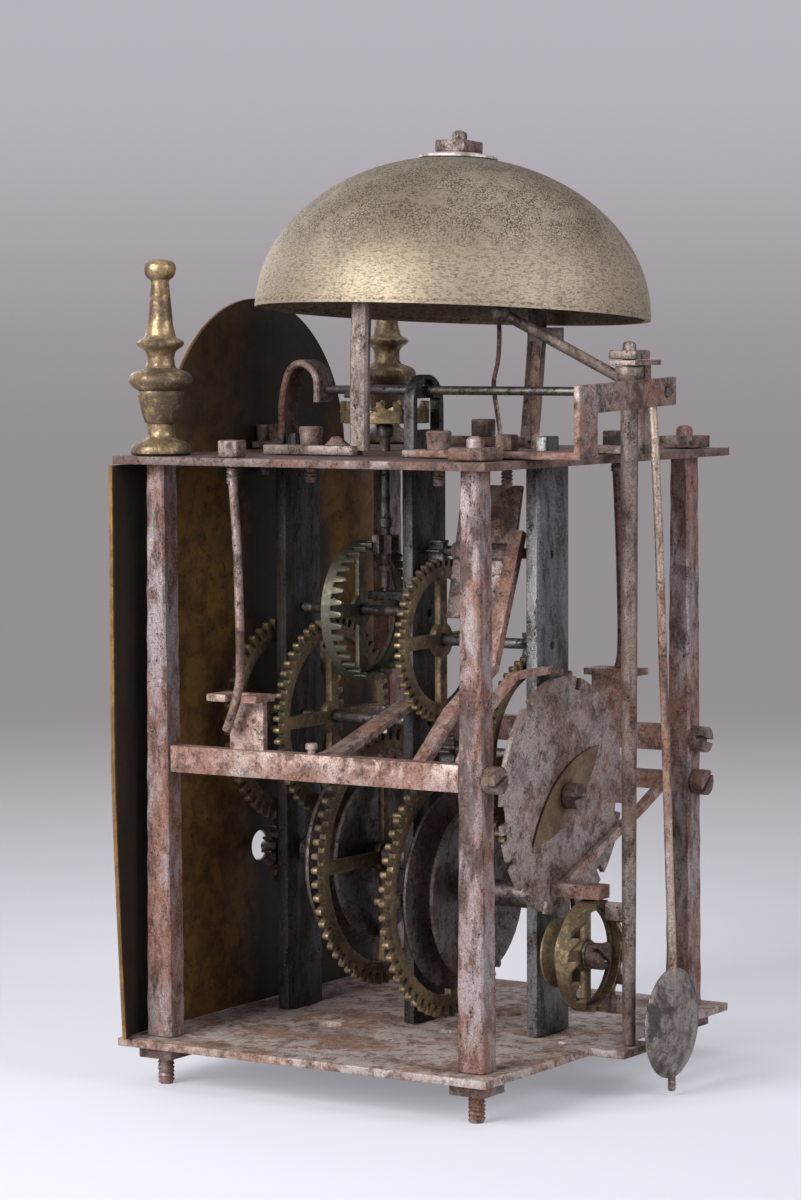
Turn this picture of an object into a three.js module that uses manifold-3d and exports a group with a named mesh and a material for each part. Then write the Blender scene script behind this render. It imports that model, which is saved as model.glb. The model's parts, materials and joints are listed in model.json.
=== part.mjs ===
// A lantern clock: an open iron frame of two plates on four posts, three upright bars that carry the going
// train (front) and the strike train (rear), a verge with a short pendulum, an alarm at the back, a bell on a
// strap stand, and a brass dial with one hand. Millimetres, +Z up, the dial faces -Y.
// The origin is the middle of the bottom plate's underside.
import * as THREE from "three";
import { mergeVertices } from "three/addons/utils/BufferGeometryUtils.js";
import Module from "manifold-3d";

const wasm = await Module();
wasm.setup();

// General clearances.
const FIT = 0.3;
const OVERRUN = 1;
const PIVOT_PLAY = 0.35;

// Frame: plates, posts, nuts and finials.
const PLATE_WIDTH = 154;
const PLATE_DEPTH = 135;
const PLATE_THICK = 2.5;
const FRAME_HEIGHT = 180;
const POST_EDGE_X = 11.7;
const POST_EDGE_Y = 10.3;
const POST_WIDTH = 8;
const POST_DEPTH_TOP = 6.4;
const POST_DEPTH_FOOT = 9.4;
const STUD_RADIUS = 2.7;
const FOOT_REACH = 12.8;
const NUT_SIDE = 12.2;
const NUT_HEIGHT = 3.8;
const NUT_DOME = 3.4;
const FINIAL_HEIGHT = 60.6;
const FINIAL_RADIUS = 10;
const FINIAL_SOCKET = 8;

// Upright bars: where they stand, and where the wheels turn in them.
const BAR_WIDTH = 20;
const BAR_THICK = 3.8;
const TENON_WIDTH = 12;
const TENON_TOP_WIDTH = 8;
const TENON_RISE = 5.5;
const BAR_FRONT_INSET = 17.5;
const BAR_REAR_INSET = 23.7;
const BAR_MIDDLE_Y = -1.6;
const PIVOT_RADIUS = 0.95;
const BRIDGE_WIDTH = 18;
const BRIDGE_OPENING = 13.4;
const BRIDGE_SHOULDER_RISE = 15.5;

// Wheel work. Heights of arbors above the bottom plate and distances between meshing arbors, as shares of
// the frame's height, and places of wheels as shares of the space between their two bars (the going second
// wheel's of the space in front of the contrate wheel).
const arborShares = { goingGreat: 0.288, strikeGreat: 0.2405, side: 0.489, alarmStop: 0.411, alarm: 0.15 };
const meshShares = { great: 0.246, second: 0.195, third: 0.1583, hour: 0.239, count: 0.18 };
const goingShares = { great: 0.303, second: 0.484 };
const strikeShares = { great: 0.185, second: 0.945, third: 0.103, fly: 0.233, flyLength: 0.53 };
const GREAT_TEETH = 56;
const SECOND_TEETH = 54;
const THIRD_TEETH = 48;
const CONTRATE_TEETH = 36;
const CROWN_TEETH = 15;
const HOUR_TEETH = 48;
const REPORT_LEAVES = 16;
const COUNT_TEETH = 39;
const COUNT_LEAVES = 4;
const LEAVES = 6;
const GREAT_MESH = meshShares.great * FRAME_HEIGHT;
const SECOND_MESH = meshShares.second * FRAME_HEIGHT;
const THIRD_MESH = meshShares.third * FRAME_HEIGHT;
const HOUR_MESH = meshShares.hour * FRAME_HEIGHT;
const COUNT_MESH = meshShares.count * FRAME_HEIGHT;
const WHEEL_THICK = 2.3;
const RIM_WIDTH = 3.6;
const ARM_WIDTH = 4.2;
const HUB_RADIUS = 5.2;
const ARBOR_RADIUS = 1.7;
const GREAT_ARBOR_RADIUS = 4.2;
const JOURNAL_RADIUS = 3.2;
const HOUR_SET_OFF = 5.5;
const HAMMER_PINS = 8;
const HAMMER_PIN_RADIUS = 1.1;
const HAMMER_PIN_LENGTH = 4;
const HAMMER_PIN_INSET = 4.6;
const STRIKE_PULLEY_RADIUS = 32;
const STRIKE_PULLEY_LENGTH = 14;
const GOING_PULLEY_RADIUS = 30;
const GOING_PULLEY_LENGTH = 10;
const PULLEY_FLANGE = 1.3;
const PULLEY_GROOVE = 6.5;

// Contrate wheel, crown wheel, verge and pendulum.
const CONTRATE_RADIUS = 22.4;
const CONTRATE_SET_OFF = 10.3;
const CONTRATE_BAND = 3.6;
const CROWN_RIM = 1.7;
const CROWN_SET_OFF = 14.7;
const CROWN_RADIUS = 14.2;
const CROWN_RISE = 9;
const CROWN_BAND = 4;
const CROWN_TOOTH = 3;
const POTENCE_RISE = 3.9;
const POTENCE_THICK = 2.6;
const POTENCE_WIDTH = 10;
const POTENCE_REACH = 3.6;
const VERGE_RISE = 19.5;
const VERGE_RADIUS = 1.4;
const vergeFrontShare = 0.257;
const ROD_RADIUS = 1.45;
const ROD_OUTSET = 13.2;
const ROD_BEND = 7.4;
const ROD_TAIL_Z = -11.3;
const BOB_RADIUS = 17.2;
const BOB_THICK = 7;
const BOB_Z = 9.9;
const COCK_WIDTH = 9;
const COCK_THICK = 2.3;
const REAR_COCK_INSET = 16.8;
const REAR_COCK_WIDTH = 11;
const REAR_COCK_FOOT = 61;
const REAR_COCK_OUTSET = 17.6;

// Fly.
const FLY_SPAN = 43;
const FLY_THICK = 1.2;
const FLY_TILT = 14;

// Count wheel.
const COUNT_RADIUS = 37.6;
const COUNT_NOTCH = 4;
const COUNT_SET_OFF = 5.1;
const COUNT_DISC_THICK = 1.8;
const COUNT_STUD_RADIUS = 2.4;
const COUNT_SPRING_LENGTH = 50;
const COUNT_SPRING_WIDTH = 15;
const SCREW_HEAD_RADIUS = 4.2;
const SCREW_HEAD_HEIGHT = 4.4;
const SCREW_SLOT = 1.3;

// Side arbors that carry the detents and the hammer.
const SIDE_ARBOR_WIDTH = 5.5;
const SIDE_ARBOR_HEIGHT = 8.2;
const ALARM_ARBOR_HEIGHT = 5.7;
const SCREW_RADIUS = 2.2;
const SCREW_TIP_RADIUS = 1.2;
const SCREW_TIP_DEPTH = 2;
const STRIP_THICK = 2.2;
const FORK_HEIGHT = 17.5;
const FORK_WIDTH = 12.5;
const FORK_REACH = 10.4;
const FORK_SLOT = 6;
const DETENT_FORK_Y = -26;
const HAMMER_FORK_Y = 30.5;
const SPRING_RADIUS = 1.5;
const SPRING_OUTSET = 5.2;
const SPRING_BEND = 1.2;
const SPRING_HOOK = 5;
const HAMMER_Y = 12;
const HAMMER_INSET = 16.3;
const HAMMER_RISE = 37;
const HEAD_LENGTH = 15;
const HEAD_SIDE = 4.4;

// Bell and its stand.
const BELL_RADIUS = 63;
const BELL_HEIGHT = 49.9;
const BELL_WALL = 1.9;
const BELL_RIM_Z = 43.6;
const STAND_X = -4.2;
const STAND_Y = 4.6;
const STAND_YAW = -1.6;
const STAND_LEAN = 0.5;
const STAND_TILT = 3.5;
const STAND_HALF_SPAN = 50;
const STAND_WIDTH = 6.5;
const STAND_THICK = 3;
const STAND_FOOT = 34;
const BELL_WASHER_RADIUS = 12.6;
const BELL_NUT_SIDE = 11.2;

// Alarm.
const ALARM_X = 5.5;
const ALARM_RADIUS = 17.5;
const ALARM_TEETH = 15;
const ALARM_SET_OFF = 16;
const ALARM_BAND = 4.4;
const ALARM_TOOTH = 3;
const ALARM_PULLEY_RADIUS = 11;
const ALARM_PULLEY_SET_OFF = 6.4;
const ALARM_PULLEY_GAP = 3;
const ALARM_ROD_OUTSET = 8.5;
const ALARM_ROD_TOP_RADIUS = 2.8;
const ALARM_ROD_FOOT_RADIUS = 2.1;
const ALARM_HUB_RISE = 24;
const ALARM_NUT_SIDE = 9.6;
const ALARM_HAMMER_X = 25;
const ALARM_HAMMER_Y = 42;
const ALARM_HAMMER_RISE = 44;
const BRACKET_X = -6.6;
const BRACKET_FOOT = 8;
const LUG_WIDTH = 19;
const LUG_REACH = 12;

// Dial, chapter ring and hand.
const DIAL_WIDTH = 160;
const DIAL_THICK = 1.5;
const DIAL_INSET = 0.5;
const ARCH_RADIUS = 51.8;
const CHAPTER_OUTER = 68;
const CHAPTER_INNER = 48;
const CHAPTER_THICK = 1.3;
const HAND_LENGTH = 46;
const HAND_TAIL = 15;
const HAND_SWELL = 4.6;
const HAND_THICK = 1.6;
const HAND_SET_OFF = 4.1;
const PIPE_RADIUS = 4.4;
const ARBOR_HOLE_RADIUS = 5;

// Sides of round pieces.
const FINE = 32;
const MEDIUM = 24;
const ROUND = 12;
const SMALL = 8;

// Heights and places that follow from the frame.
const FLOOR_Z = PLATE_THICK;
const CEILING_Z = PLATE_THICK + FRAME_HEIGHT;
const ROOF_Z = CEILING_Z + PLATE_THICK;
const POST_X = PLATE_WIDTH / 2 - POST_EDGE_X;
const POST_Y = PLATE_DEPTH / 2 - POST_EDGE_Y;
const BAR_FRONT_Y = BAR_FRONT_INSET - PLATE_DEPTH / 2;
const BAR_REAR_Y = PLATE_DEPTH / 2 - BAR_REAR_INSET;
const barFace = (y, end) => y + (end * BAR_THICK) / 2;
const SPACE = {
  going: [barFace(BAR_FRONT_Y, 1), barFace(BAR_MIDDLE_Y, -1)],
  strike: [barFace(BAR_MIDDLE_Y, 1), barFace(BAR_REAR_Y, -1)],
};
const goingDepth = SPACE.going[1] - SPACE.going[0];
const strikeDepth = SPACE.strike[1] - SPACE.strike[0];
const GOING_GREAT_Y = SPACE.going[1] - goingShares.great * goingDepth;
const HOUR_Y = BAR_FRONT_Y - HOUR_SET_OFF;
const STRIKE_GREAT_Y = SPACE.strike[0] + strikeShares.great * strikeDepth;
const STRIKE_SECOND_Y = SPACE.strike[0] + strikeShares.second * strikeDepth;
const STRIKE_THIRD_Y = SPACE.strike[0] + strikeShares.third * strikeDepth;
const FLY_START_Y = SPACE.strike[0] + strikeShares.fly * strikeDepth;
const FLY_LENGTH = strikeShares.flyLength * strikeDepth;
const COUNT_DISC_Y = BAR_REAR_Y + COUNT_SET_OFF;
const CROWN_Y = BAR_MIDDLE_Y - CROWN_SET_OFF;
const CONTRATE_BACK_Y = CROWN_Y - CONTRATE_SET_OFF;
const GOING_SECOND_Y = CONTRATE_BACK_Y - goingShares.second * (CONTRATE_BACK_Y - SPACE.going[0]);
const crownFrontY = CROWN_Y - CROWN_RADIUS;
const VERGE_FRONT_Y = crownFrontY - vergeFrontShare * (PLATE_DEPTH / 2 + crownFrontY);
const ROD_TOP_Y = PLATE_DEPTH / 2 + ROD_OUTSET;
const REAR_COCK_X = POST_X - REAR_COCK_INSET;
const REAR_COCK_Y = PLATE_DEPTH / 2 + REAR_COCK_OUTSET;
const SPRING_X = POST_X + SPRING_OUTSET;
const HAMMER_X = POST_X - HAMMER_INSET;
const ALARM_BACK_Y = BAR_REAR_Y + ALARM_SET_OFF;
const ALARM_PULLEY_Y = BAR_REAR_Y + ALARM_PULLEY_SET_OFF;
const ALARM_ROD_Y = PLATE_DEPTH / 2 + ALARM_ROD_OUTSET;
const arborHeight = (share) => FLOOR_Z + share * FRAME_HEIGHT;
const GOING_GREAT_Z = arborHeight(arborShares.goingGreat);
const STRIKE_GREAT_Z = arborHeight(arborShares.strikeGreat);
const SIDE_ARBOR_Z = arborHeight(arborShares.side);
const ALARM_ARBOR_Z = arborHeight(arborShares.alarmStop);
const ALARM_Z = arborHeight(arborShares.alarm);
const GOING_SECOND_Z = GOING_GREAT_Z + GREAT_MESH;
const CONTRATE_Z = GOING_SECOND_Z + SECOND_MESH;
const HOUR_Z = GOING_GREAT_Z + HOUR_MESH;
const STRIKE_SECOND_Z = STRIKE_GREAT_Z + GREAT_MESH;
const STRIKE_THIRD_Z = STRIKE_SECOND_Z + SECOND_MESH;
const FLY_Z = STRIKE_THIRD_Z + THIRD_MESH;
const COUNT_Z = STRIKE_GREAT_Z + COUNT_MESH;
const DIAL_Y = DIAL_INSET - PLATE_DEPTH / 2;
const DIAL_REAR_Y = DIAL_Y + DIAL_THICK;
const HAND_Y = DIAL_Y - HAND_SET_OFF;
const POTENCE_Z = CONTRATE_Z + POTENCE_RISE;
const CROWN_BAND_Z = ROOF_Z + CROWN_RISE;
const VERGE_Z = ROOF_Z + VERGE_RISE;
const BRIDGE_SHOULDER_Z = ROOF_Z + BRIDGE_SHOULDER_RISE;
const HAMMER_Z = ROOF_Z + HAMMER_RISE;
const ALARM_HUB_Z = ROOF_Z + ALARM_HUB_RISE;
const ALARM_HAMMER_Z = ROOF_Z + ALARM_HAMMER_RISE;
const CROWN_TIP_Z = CROWN_BAND_Z + CROWN_BAND + CROWN_TOOTH;
const palletReach = VERGE_Z - CROWN_TIP_Z - FIT;

// Colours, roughness and metalness, by kind of surface.
const finish = (color, roughness, metalness) => new THREE.MeshStandardMaterial({ color, roughness, metalness });
const RUSTY_IRON = finish(0x8a7268, 0.75, 0.6);
const DARK_IRON = finish(0x55504e, 0.55, 0.8);
const WORN_STEEL = finish(0x6f7074, 0.45, 0.9);
const AGED_BRASS = finish(0x8f7a45, 0.45, 0.9);
const GREEN_BRASS = finish(0x6c735c, 0.55, 0.8);
const BELL_METAL = finish(0x7f7760, 0.5, 0.85);
const SILVERED = finish(0xb9b4a4, 0.4, 0.8);

// Solids: three.js geometry in, joined or cut geometry out.
function solidOf(geometry) {
  const bare = new THREE.BufferGeometry();
  bare.setAttribute("position", geometry.getAttribute("position"));
  bare.setIndex(geometry.index);
  const merged = mergeVertices(bare, FIT / 1000);
  const vertProperties = merged.getAttribute("position").array;
  const triVerts = new Uint32Array(merged.index.array);
  return new wasm.Manifold(new wasm.Mesh({ numProp: 3, vertProperties, triVerts }));
}

function geometryOf(solid) {
  const { vertProperties, triVerts } = solid.getMesh();
  const geometry = new THREE.BufferGeometry();
  geometry.setAttribute("position", new THREE.BufferAttribute(vertProperties, 3));
  geometry.setIndex(new THREE.BufferAttribute(triVerts, 1));
  return geometry;
}

function join(first, ...others) {
  return geometryOf(others.reduce((whole, piece) => whole.add(solidOf(piece)), solidOf(first)));
}

function cut(first, ...others) {
  return geometryOf(others.reduce((whole, piece) => whole.subtract(solidOf(piece)), solidOf(first)));
}

// A box between two corners.
function block(low, high) {
  const [width, depth, height] = high.map((top, axis) => top - low[axis]);
  const middle = high.map((top, axis) => (top + low[axis]) / 2);
  return new THREE.BoxGeometry(width, depth, height).translate(...middle);
}

// A round bar from one height to another, on a vertical axis.
function upright(radius, x, y, from, to, sides = SMALL) {
  const bar = new THREE.CylinderGeometry(radius, radius, to - from, sides).rotateX(Math.PI / 2);
  return bar.translate(x, y, (from + to) / 2);
}

// The same, on an axis that runs front to back.
function lengthways(radius, x, z, from, to, sides = SMALL) {
  return new THREE.CylinderGeometry(radius, radius, to - from, sides).translate(x, (from + to) / 2, z);
}

// A turned piece on the Z axis, from radius and height pairs that start and end on the axis or close.
function turned(profile, sides) {
  const points = profile.map(([radius, height]) => new THREE.Vector2(radius, height));
  return new THREE.LatheGeometry(points, sides).rotateX(Math.PI / 2);
}

// Turns a piece made on the Z axis so that its axis runs front to back, and puts it at a place.
function toLengthways(geometry, x, y, z) {
  return geometry.rotateX(-Math.PI / 2).translate(x, y, z);
}

// A turned arbor on an axis that runs front to back.
function arborAlong(profile, x, z, sides = SMALL) {
  const points = profile.map(([radius, y]) => new THREE.Vector2(radius, y));
  return new THREE.LatheGeometry(points, sides).translate(x, 0, z);
}

// A flat strip bent along a line of points, of one thickness, extruded to a width centred on z = 0.
function bentStrip(points, thickness, width) {
  const line = points.map(([x, y]) => new THREE.Vector2(x, y));
  const side = (sign) =>
    line.map((point, i) => {
      const before = point.clone().sub(line[Math.max(i - 1, 0)]).normalize();
      const after = line[Math.min(i + 1, line.length - 1)].clone().sub(point).normalize();
      const along = before.clone().add(after).normalize();
      const edge = i > 0 ? before : after;
      const across = new THREE.Vector2(-along.y, along.x);
      const stretch = 1 / (across.x * -edge.y + across.y * edge.x);
      return point.clone().addScaledVector(across, (sign * stretch * thickness) / 2);
    });
  const shape = new THREE.Shape([...side(-1), ...side(1).reverse()]);
  return new THREE.ExtrudeGeometry(shape, { depth: width, bevelEnabled: false }).translate(0, 0, -width / 2);
}

// A strip whose line lies in the plane of X and Z, with its width along Y.
function stripAcross(points, thickness, width, y) {
  return bentStrip(points, thickness, width).rotateX(Math.PI / 2).translate(0, y, 0);
}

// A strip whose line lies in the plane of Y and Z, with its width along X.
function stripLengthways(points, thickness, width, x) {
  return bentStrip(points, thickness, width).rotateY(Math.PI / 2).rotateX(Math.PI / 2).translate(x, 0, 0);
}

// A round rod along a smooth line of points.
function bentRod(points, radius, steps) {
  const path = new THREE.CatmullRomCurve3(points.map((place) => new THREE.Vector3(...place)));
  const section = new THREE.Shape();
  for (let i = 0; i < SMALL; i++) {
    const angle = (i / SMALL) * 2 * Math.PI;
    section[i ? "lineTo" : "moveTo"](radius * Math.cos(angle), radius * Math.sin(angle));
  }
  return new THREE.ExtrudeGeometry(section, { steps, extrudePath: path, bevelEnabled: false });
}

// Tooth shapes. Lengths are shares of the module, widths are shares of the pitch.
const WHEEL_TOOTH_SHARES = { tip: 0.95, root: 1.6 };
const LEAF_SHARES = { tip: 0.65, root: 1.3, rootWidth: 0.42, tipWidth: 0.14 };

// The outline of a wheel with pointed teeth or a pinion with blunt leaves, the first one on the X axis,
// turned by a phase.
function toothedOutline(teeth, pitchRadius, shares, phase = 0) {
  const size = (2 * pitchRadius) / teeth;
  const root = pitchRadius - shares.root * size;
  const tip = pitchRadius + shares.tip * size;
  const half = Math.PI / teeth;
  const pointed = [
    [root, -1],
    [tip, 0],
  ];
  const blunt = [
    [root, -shares.rootWidth],
    [tip, -shares.tipWidth],
    [tip, shares.tipWidth],
    [root, shares.rootWidth],
  ];
  const corners = shares.rootWidth ? blunt : pointed;
  const points = [];
  for (let i = 0; i < teeth; i++) {
    for (const [radius, width] of corners) {
      const angle = phase + 2 * half * i + half * width;
      points.push(new THREE.Vector2(radius * Math.cos(angle), radius * Math.sin(angle)));
    }
  }
  return new THREE.Shape(points);
}

function circleOutline(radius, sides) {
  const points = [];
  for (let i = 0; i < sides; i++) {
    const angle = (i / sides) * 2 * Math.PI;
    points.push(new THREE.Vector2(radius * Math.cos(angle), radius * Math.sin(angle)));
  }
  return new THREE.Shape(points);
}

// Adds the bore and the openings between four arms to a wheel's outline.
function crossOut(outline, rimInner, bore, hub = HUB_RADIUS, arm = ARM_WIDTH) {
  outline.holes.push(circleOutline(bore, bore > HUB_RADIUS / 2 ? ROUND : SMALL));
  const arcSteps = 4;
  for (let quarter = 0; quarter < 4; quarter++) {
    const points = [];
    for (const [radius, order] of [[rimInner, 1], [hub, -1]]) {
      const inset = Math.asin(arm / 2 / radius);
      const steps = radius === hub ? 2 : arcSteps;
      for (let i = 0; i <= steps; i++) {
        const share = order > 0 ? i / steps : 1 - i / steps;
        const angle = (quarter * Math.PI) / 2 + inset + share * (Math.PI / 2 - 2 * inset);
        points.push(new THREE.Vector2(radius * Math.cos(angle), radius * Math.sin(angle)));
      }
    }
    outline.holes.push(new THREE.Path(points));
  }
  return outline;
}

function plateOf(shape, thickness) {
  return new THREE.ExtrudeGeometry(shape, { depth: thickness, bevelEnabled: false, curveSegments: SMALL });
}

// A wheel that turns on an axis from front to back, its middle plane at y, phase in turns of one tooth.
function crossedWheel(teeth, mesh, leaves, bore, y, z, phaseShare = 0) {
  const pitchRadius = (mesh * teeth) / (teeth + leaves);
  const rimInner = pitchRadius - (WHEEL_TOOTH_SHARES.root * 2 * pitchRadius) / teeth - RIM_WIDTH;
  const outline = toothedOutline(teeth, pitchRadius, WHEEL_TOOTH_SHARES, (phaseShare * 2 * Math.PI) / teeth);
  const flat = plateOf(crossOut(outline, rimInner, bore), WHEEL_THICK);
  return toLengthways(flat, 0, y - WHEEL_THICK / 2, z);
}

// A pinion for such a wheel below it: a gap between its leaves faces straight down.
function pinionAlong(leaves, mesh, teeth, from, to, z, phaseShare = 0) {
  const pitchRadius = (mesh * leaves) / (teeth + leaves);
  const down = Math.PI / 2 + (Math.PI / leaves) * (1 + phaseShare * 2);
  return toLengthways(plateOf(toothedOutline(leaves, pitchRadius, LEAF_SHARES, down), to - from), 0, from, z);
}

// A ring with teeth standing on its top edge: corners are shares of a pitch, with heights.
function toothedRing(teeth, inner, outer, corners) {
  const vertices = [];
  const faces = [];
  const count = teeth * corners.length;
  for (let i = 0; i < teeth; i++) {
    for (const [share, height] of corners) {
      const angle = ((i + share) / teeth) * 2 * Math.PI;
      for (const [radius, top] of [[inner, 0], [outer, 0], [outer, height], [inner, height]])
        vertices.push(radius * Math.cos(angle), radius * Math.sin(angle), top);
    }
  }
  for (let i = 0; i < count; i++) {
    const here = 4 * i;
    const next = 4 * ((i + 1) % count);
    for (let k = 0; k < 4; k++) {
      const l = (k + 1) % 4;
      faces.push(here + k, next + k, next + l, here + k, next + l, here + l);
    }
  }
  const ring = new THREE.BufferGeometry();
  ring.setAttribute("position", new THREE.BufferAttribute(new Float32Array(vertices), 3));
  return ring.setIndex(faces);
}

const clock = new THREE.Group();
function add(name, geometry, material) {
  const mesh = new THREE.Mesh(geometry, material);
  mesh.name = name;
  clock.add(mesh);
  return mesh;
}

const SIDES = { right: 1, left: -1 };
const ENDS = { front: -1, rear: 1 };
const TENON_SLOT = TENON_WIDTH + 2 * FIT;
const TENON_TOP_SLOT = TENON_TOP_WIDTH + 2 * FIT;

// Bottom plate: studs, bar tenons, rope holes, and a lug behind for the alarm's upright rod.
// A rope hole's place is a share of the posts' places, its radius a share of the rope groove's depth.
const ropeHoleShares = [
  [0.368, -0.42, 0.846],
  [-0.36, -0.507, 0.246],
  [0.222, 0.262, 0.492],
  [-0.329, 0.288, 0.677],
  [0.199, 0.962, 0.385],
];
const plateCuts = (from, to) => [
  ...Object.values(SIDES).flatMap((side) =>
    Object.values(ENDS).map((end) =>
      upright(STUD_RADIUS + FIT, side * POST_X, end * POST_Y, from - OVERRUN, to + OVERRUN, ROUND),
    ),
  ),
];
const slotFor = (width, y, from, to) =>
  block(
    [-width / 2, y - BAR_THICK / 2 - FIT, from - OVERRUN],
    [width / 2, y + BAR_THICK / 2 + FIT, to + OVERRUN],
  );
const lug = block(
  [ALARM_X - LUG_WIDTH / 2, PLATE_DEPTH / 2 - OVERRUN, 0],
  [ALARM_X + LUG_WIDTH / 2, PLATE_DEPTH / 2 + LUG_REACH, PLATE_THICK],
);
add(
  "bottom_plate",
  cut(
    join(block([-PLATE_WIDTH / 2, -PLATE_DEPTH / 2, 0], [PLATE_WIDTH / 2, PLATE_DEPTH / 2, PLATE_THICK]), lug),
    ...plateCuts(0, PLATE_THICK),
    ...[BAR_FRONT_Y, BAR_MIDDLE_Y, BAR_REAR_Y].map((y) => slotFor(TENON_SLOT, y, 0, PLATE_THICK)),
    ...ropeHoleShares.map(([x, y, radius]) =>
      upright(radius * PULLEY_GROOVE, x * POST_X, y * POST_Y, -OVERRUN, PLATE_THICK + OVERRUN, ROUND),
    ),
    upright(SCREW_TIP_RADIUS + PIVOT_PLAY, ALARM_X, ALARM_ROD_Y, -OVERRUN, PLATE_THICK + OVERRUN),
  ),
  RUSTY_IRON,
);

// Top plate: the same studs and tenons, the crown arbor's bearing, the spring rods, the hammer's slot, and a
// notch in the front edge that the dial's arch stands in.
const HAMMER_SLOT_LENGTH = 22;
const HAMMER_SLOT_WIDTH = 6;
const springTop = { detent: DETENT_FORK_Y - SPRING_RADIUS / 2, hammer: HAMMER_FORK_Y - SPRING_RADIUS };
add(
  "top_plate",
  cut(
    block([-PLATE_WIDTH / 2, -PLATE_DEPTH / 2, CEILING_Z], [PLATE_WIDTH / 2, PLATE_DEPTH / 2, ROOF_Z]),
    ...plateCuts(CEILING_Z, ROOF_Z),
    slotFor(TENON_TOP_SLOT, BAR_FRONT_Y, CEILING_Z, ROOF_Z),
    slotFor(BRIDGE_WIDTH + 2 * FIT, BAR_MIDDLE_Y, CEILING_Z, ROOF_Z),
    slotFor(TENON_TOP_SLOT, BAR_REAR_Y, CEILING_Z, ROOF_Z),
    upright(ARBOR_RADIUS + PIVOT_PLAY, 0, CROWN_Y, CEILING_Z - OVERRUN, ROOF_Z + OVERRUN),
    upright(SPRING_RADIUS + FIT, SPRING_X, springTop.detent, CEILING_Z - OVERRUN, ROOF_Z + OVERRUN),
    upright(SPRING_RADIUS + FIT, -SPRING_X, springTop.hammer, CEILING_Z - OVERRUN, ROOF_Z + OVERRUN),
    block(
      [-HAMMER_X - HAMMER_SLOT_WIDTH, HAMMER_Y - HAMMER_SLOT_WIDTH / 2, CEILING_Z - OVERRUN],
      [HAMMER_SLOT_LENGTH - HAMMER_X, HAMMER_Y + HAMMER_SLOT_WIDTH / 2, ROOF_Z + OVERRUN],
    ),
    block(
      [-ARCH_RADIUS - FIT, -PLATE_DEPTH / 2 - OVERRUN, CEILING_Z - OVERRUN],
      [ARCH_RADIUS + FIT, DIAL_REAR_Y + FIT, ROOF_Z + OVERRUN],
    ),
  ),
  RUSTY_IRON,
);

// Posts: tapered from front to back, threaded studs below and above, holes for the side arbors.
const postHalfDepth = (z) =>
  (POST_DEPTH_FOOT + ((POST_DEPTH_TOP - POST_DEPTH_FOOT) * (z - FLOOR_Z)) / FRAME_HEIGHT) / 2;
function taperedBlock() {
  const box = new THREE.BoxGeometry(POST_WIDTH, 1, FRAME_HEIGHT - 2 * FIT);
  const places = box.getAttribute("position");
  for (let i = 0; i < places.count; i++) {
    const depth = places.getZ(i) > 0 ? POST_DEPTH_TOP : POST_DEPTH_FOOT;
    places.setY(i, places.getY(i) * depth);
  }
  return box.translate(0, 0, FLOOR_Z + FRAME_HEIGHT / 2);
}
// A stud with a domed upper end.
function domedStud(radius, x, y, from, top) {
  const profile = [
    [0, from],
    [radius, from],
    [radius, top - radius / 2],
    [radius * 0.75, top - radius / 5],
    [0, top],
  ];
  return turned(profile, ROUND).translate(x, y, 0);
}
const NUT_TOP_Z = ROOF_Z + FIT + NUT_HEIGHT;
for (const [sideName, side] of Object.entries(SIDES)) {
  for (const [endName, end] of Object.entries(ENDS)) {
    const x = side * POST_X;
    const y = end * POST_Y;
    const top = end > 0 ? NUT_TOP_Z + NUT_DOME : ROOF_Z + FINIAL_SOCKET - FIT;
    const holeRadius = end > 0 ? SCREW_RADIUS + FIT : SCREW_TIP_RADIUS + PIVOT_PLAY;
    const holeHeights = side > 0 ? [SIDE_ARBOR_Z] : [SIDE_ARBOR_Z, ALARM_ARBOR_Z];
    const body = join(
      taperedBlock().translate(x, y, 0),
      upright(STUD_RADIUS, x, y, -FOOT_REACH, FLOOR_Z + OVERRUN, ROUND),
      domedStud(STUD_RADIUS, x, y, CEILING_Z - OVERRUN, top),
    );
    const holes = holeHeights.map((z) =>
      lengthways(holeRadius, x, z, y - POST_DEPTH_FOOT, y + POST_DEPTH_FOOT, SMALL),
    );
    add(`post_${endName}_${sideName}`, cut(body, ...holes), RUSTY_IRON);
    add(`post_nut_${endName}_${sideName}`, squareNut(x, y, -FIT - NUT_HEIGHT), RUSTY_IRON);
    if (end > 0) add(`top_nut_${sideName}`, squareNut(x, y, ROOF_Z + FIT), RUSTY_IRON);
    else add(`finial_${sideName}`, finial(x, y), AGED_BRASS);
  }
}

function squareNut(x, y, from, side = NUT_SIDE, bore = STUD_RADIUS + FIT) {
  const body = block([x - side / 2, y - side / 2, from], [x + side / 2, y + side / 2, from + NUT_HEIGHT]);
  return cut(body, upright(bore, x, y, from - OVERRUN, from + NUT_HEIGHT + OVERRUN, ROUND));
}

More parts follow.
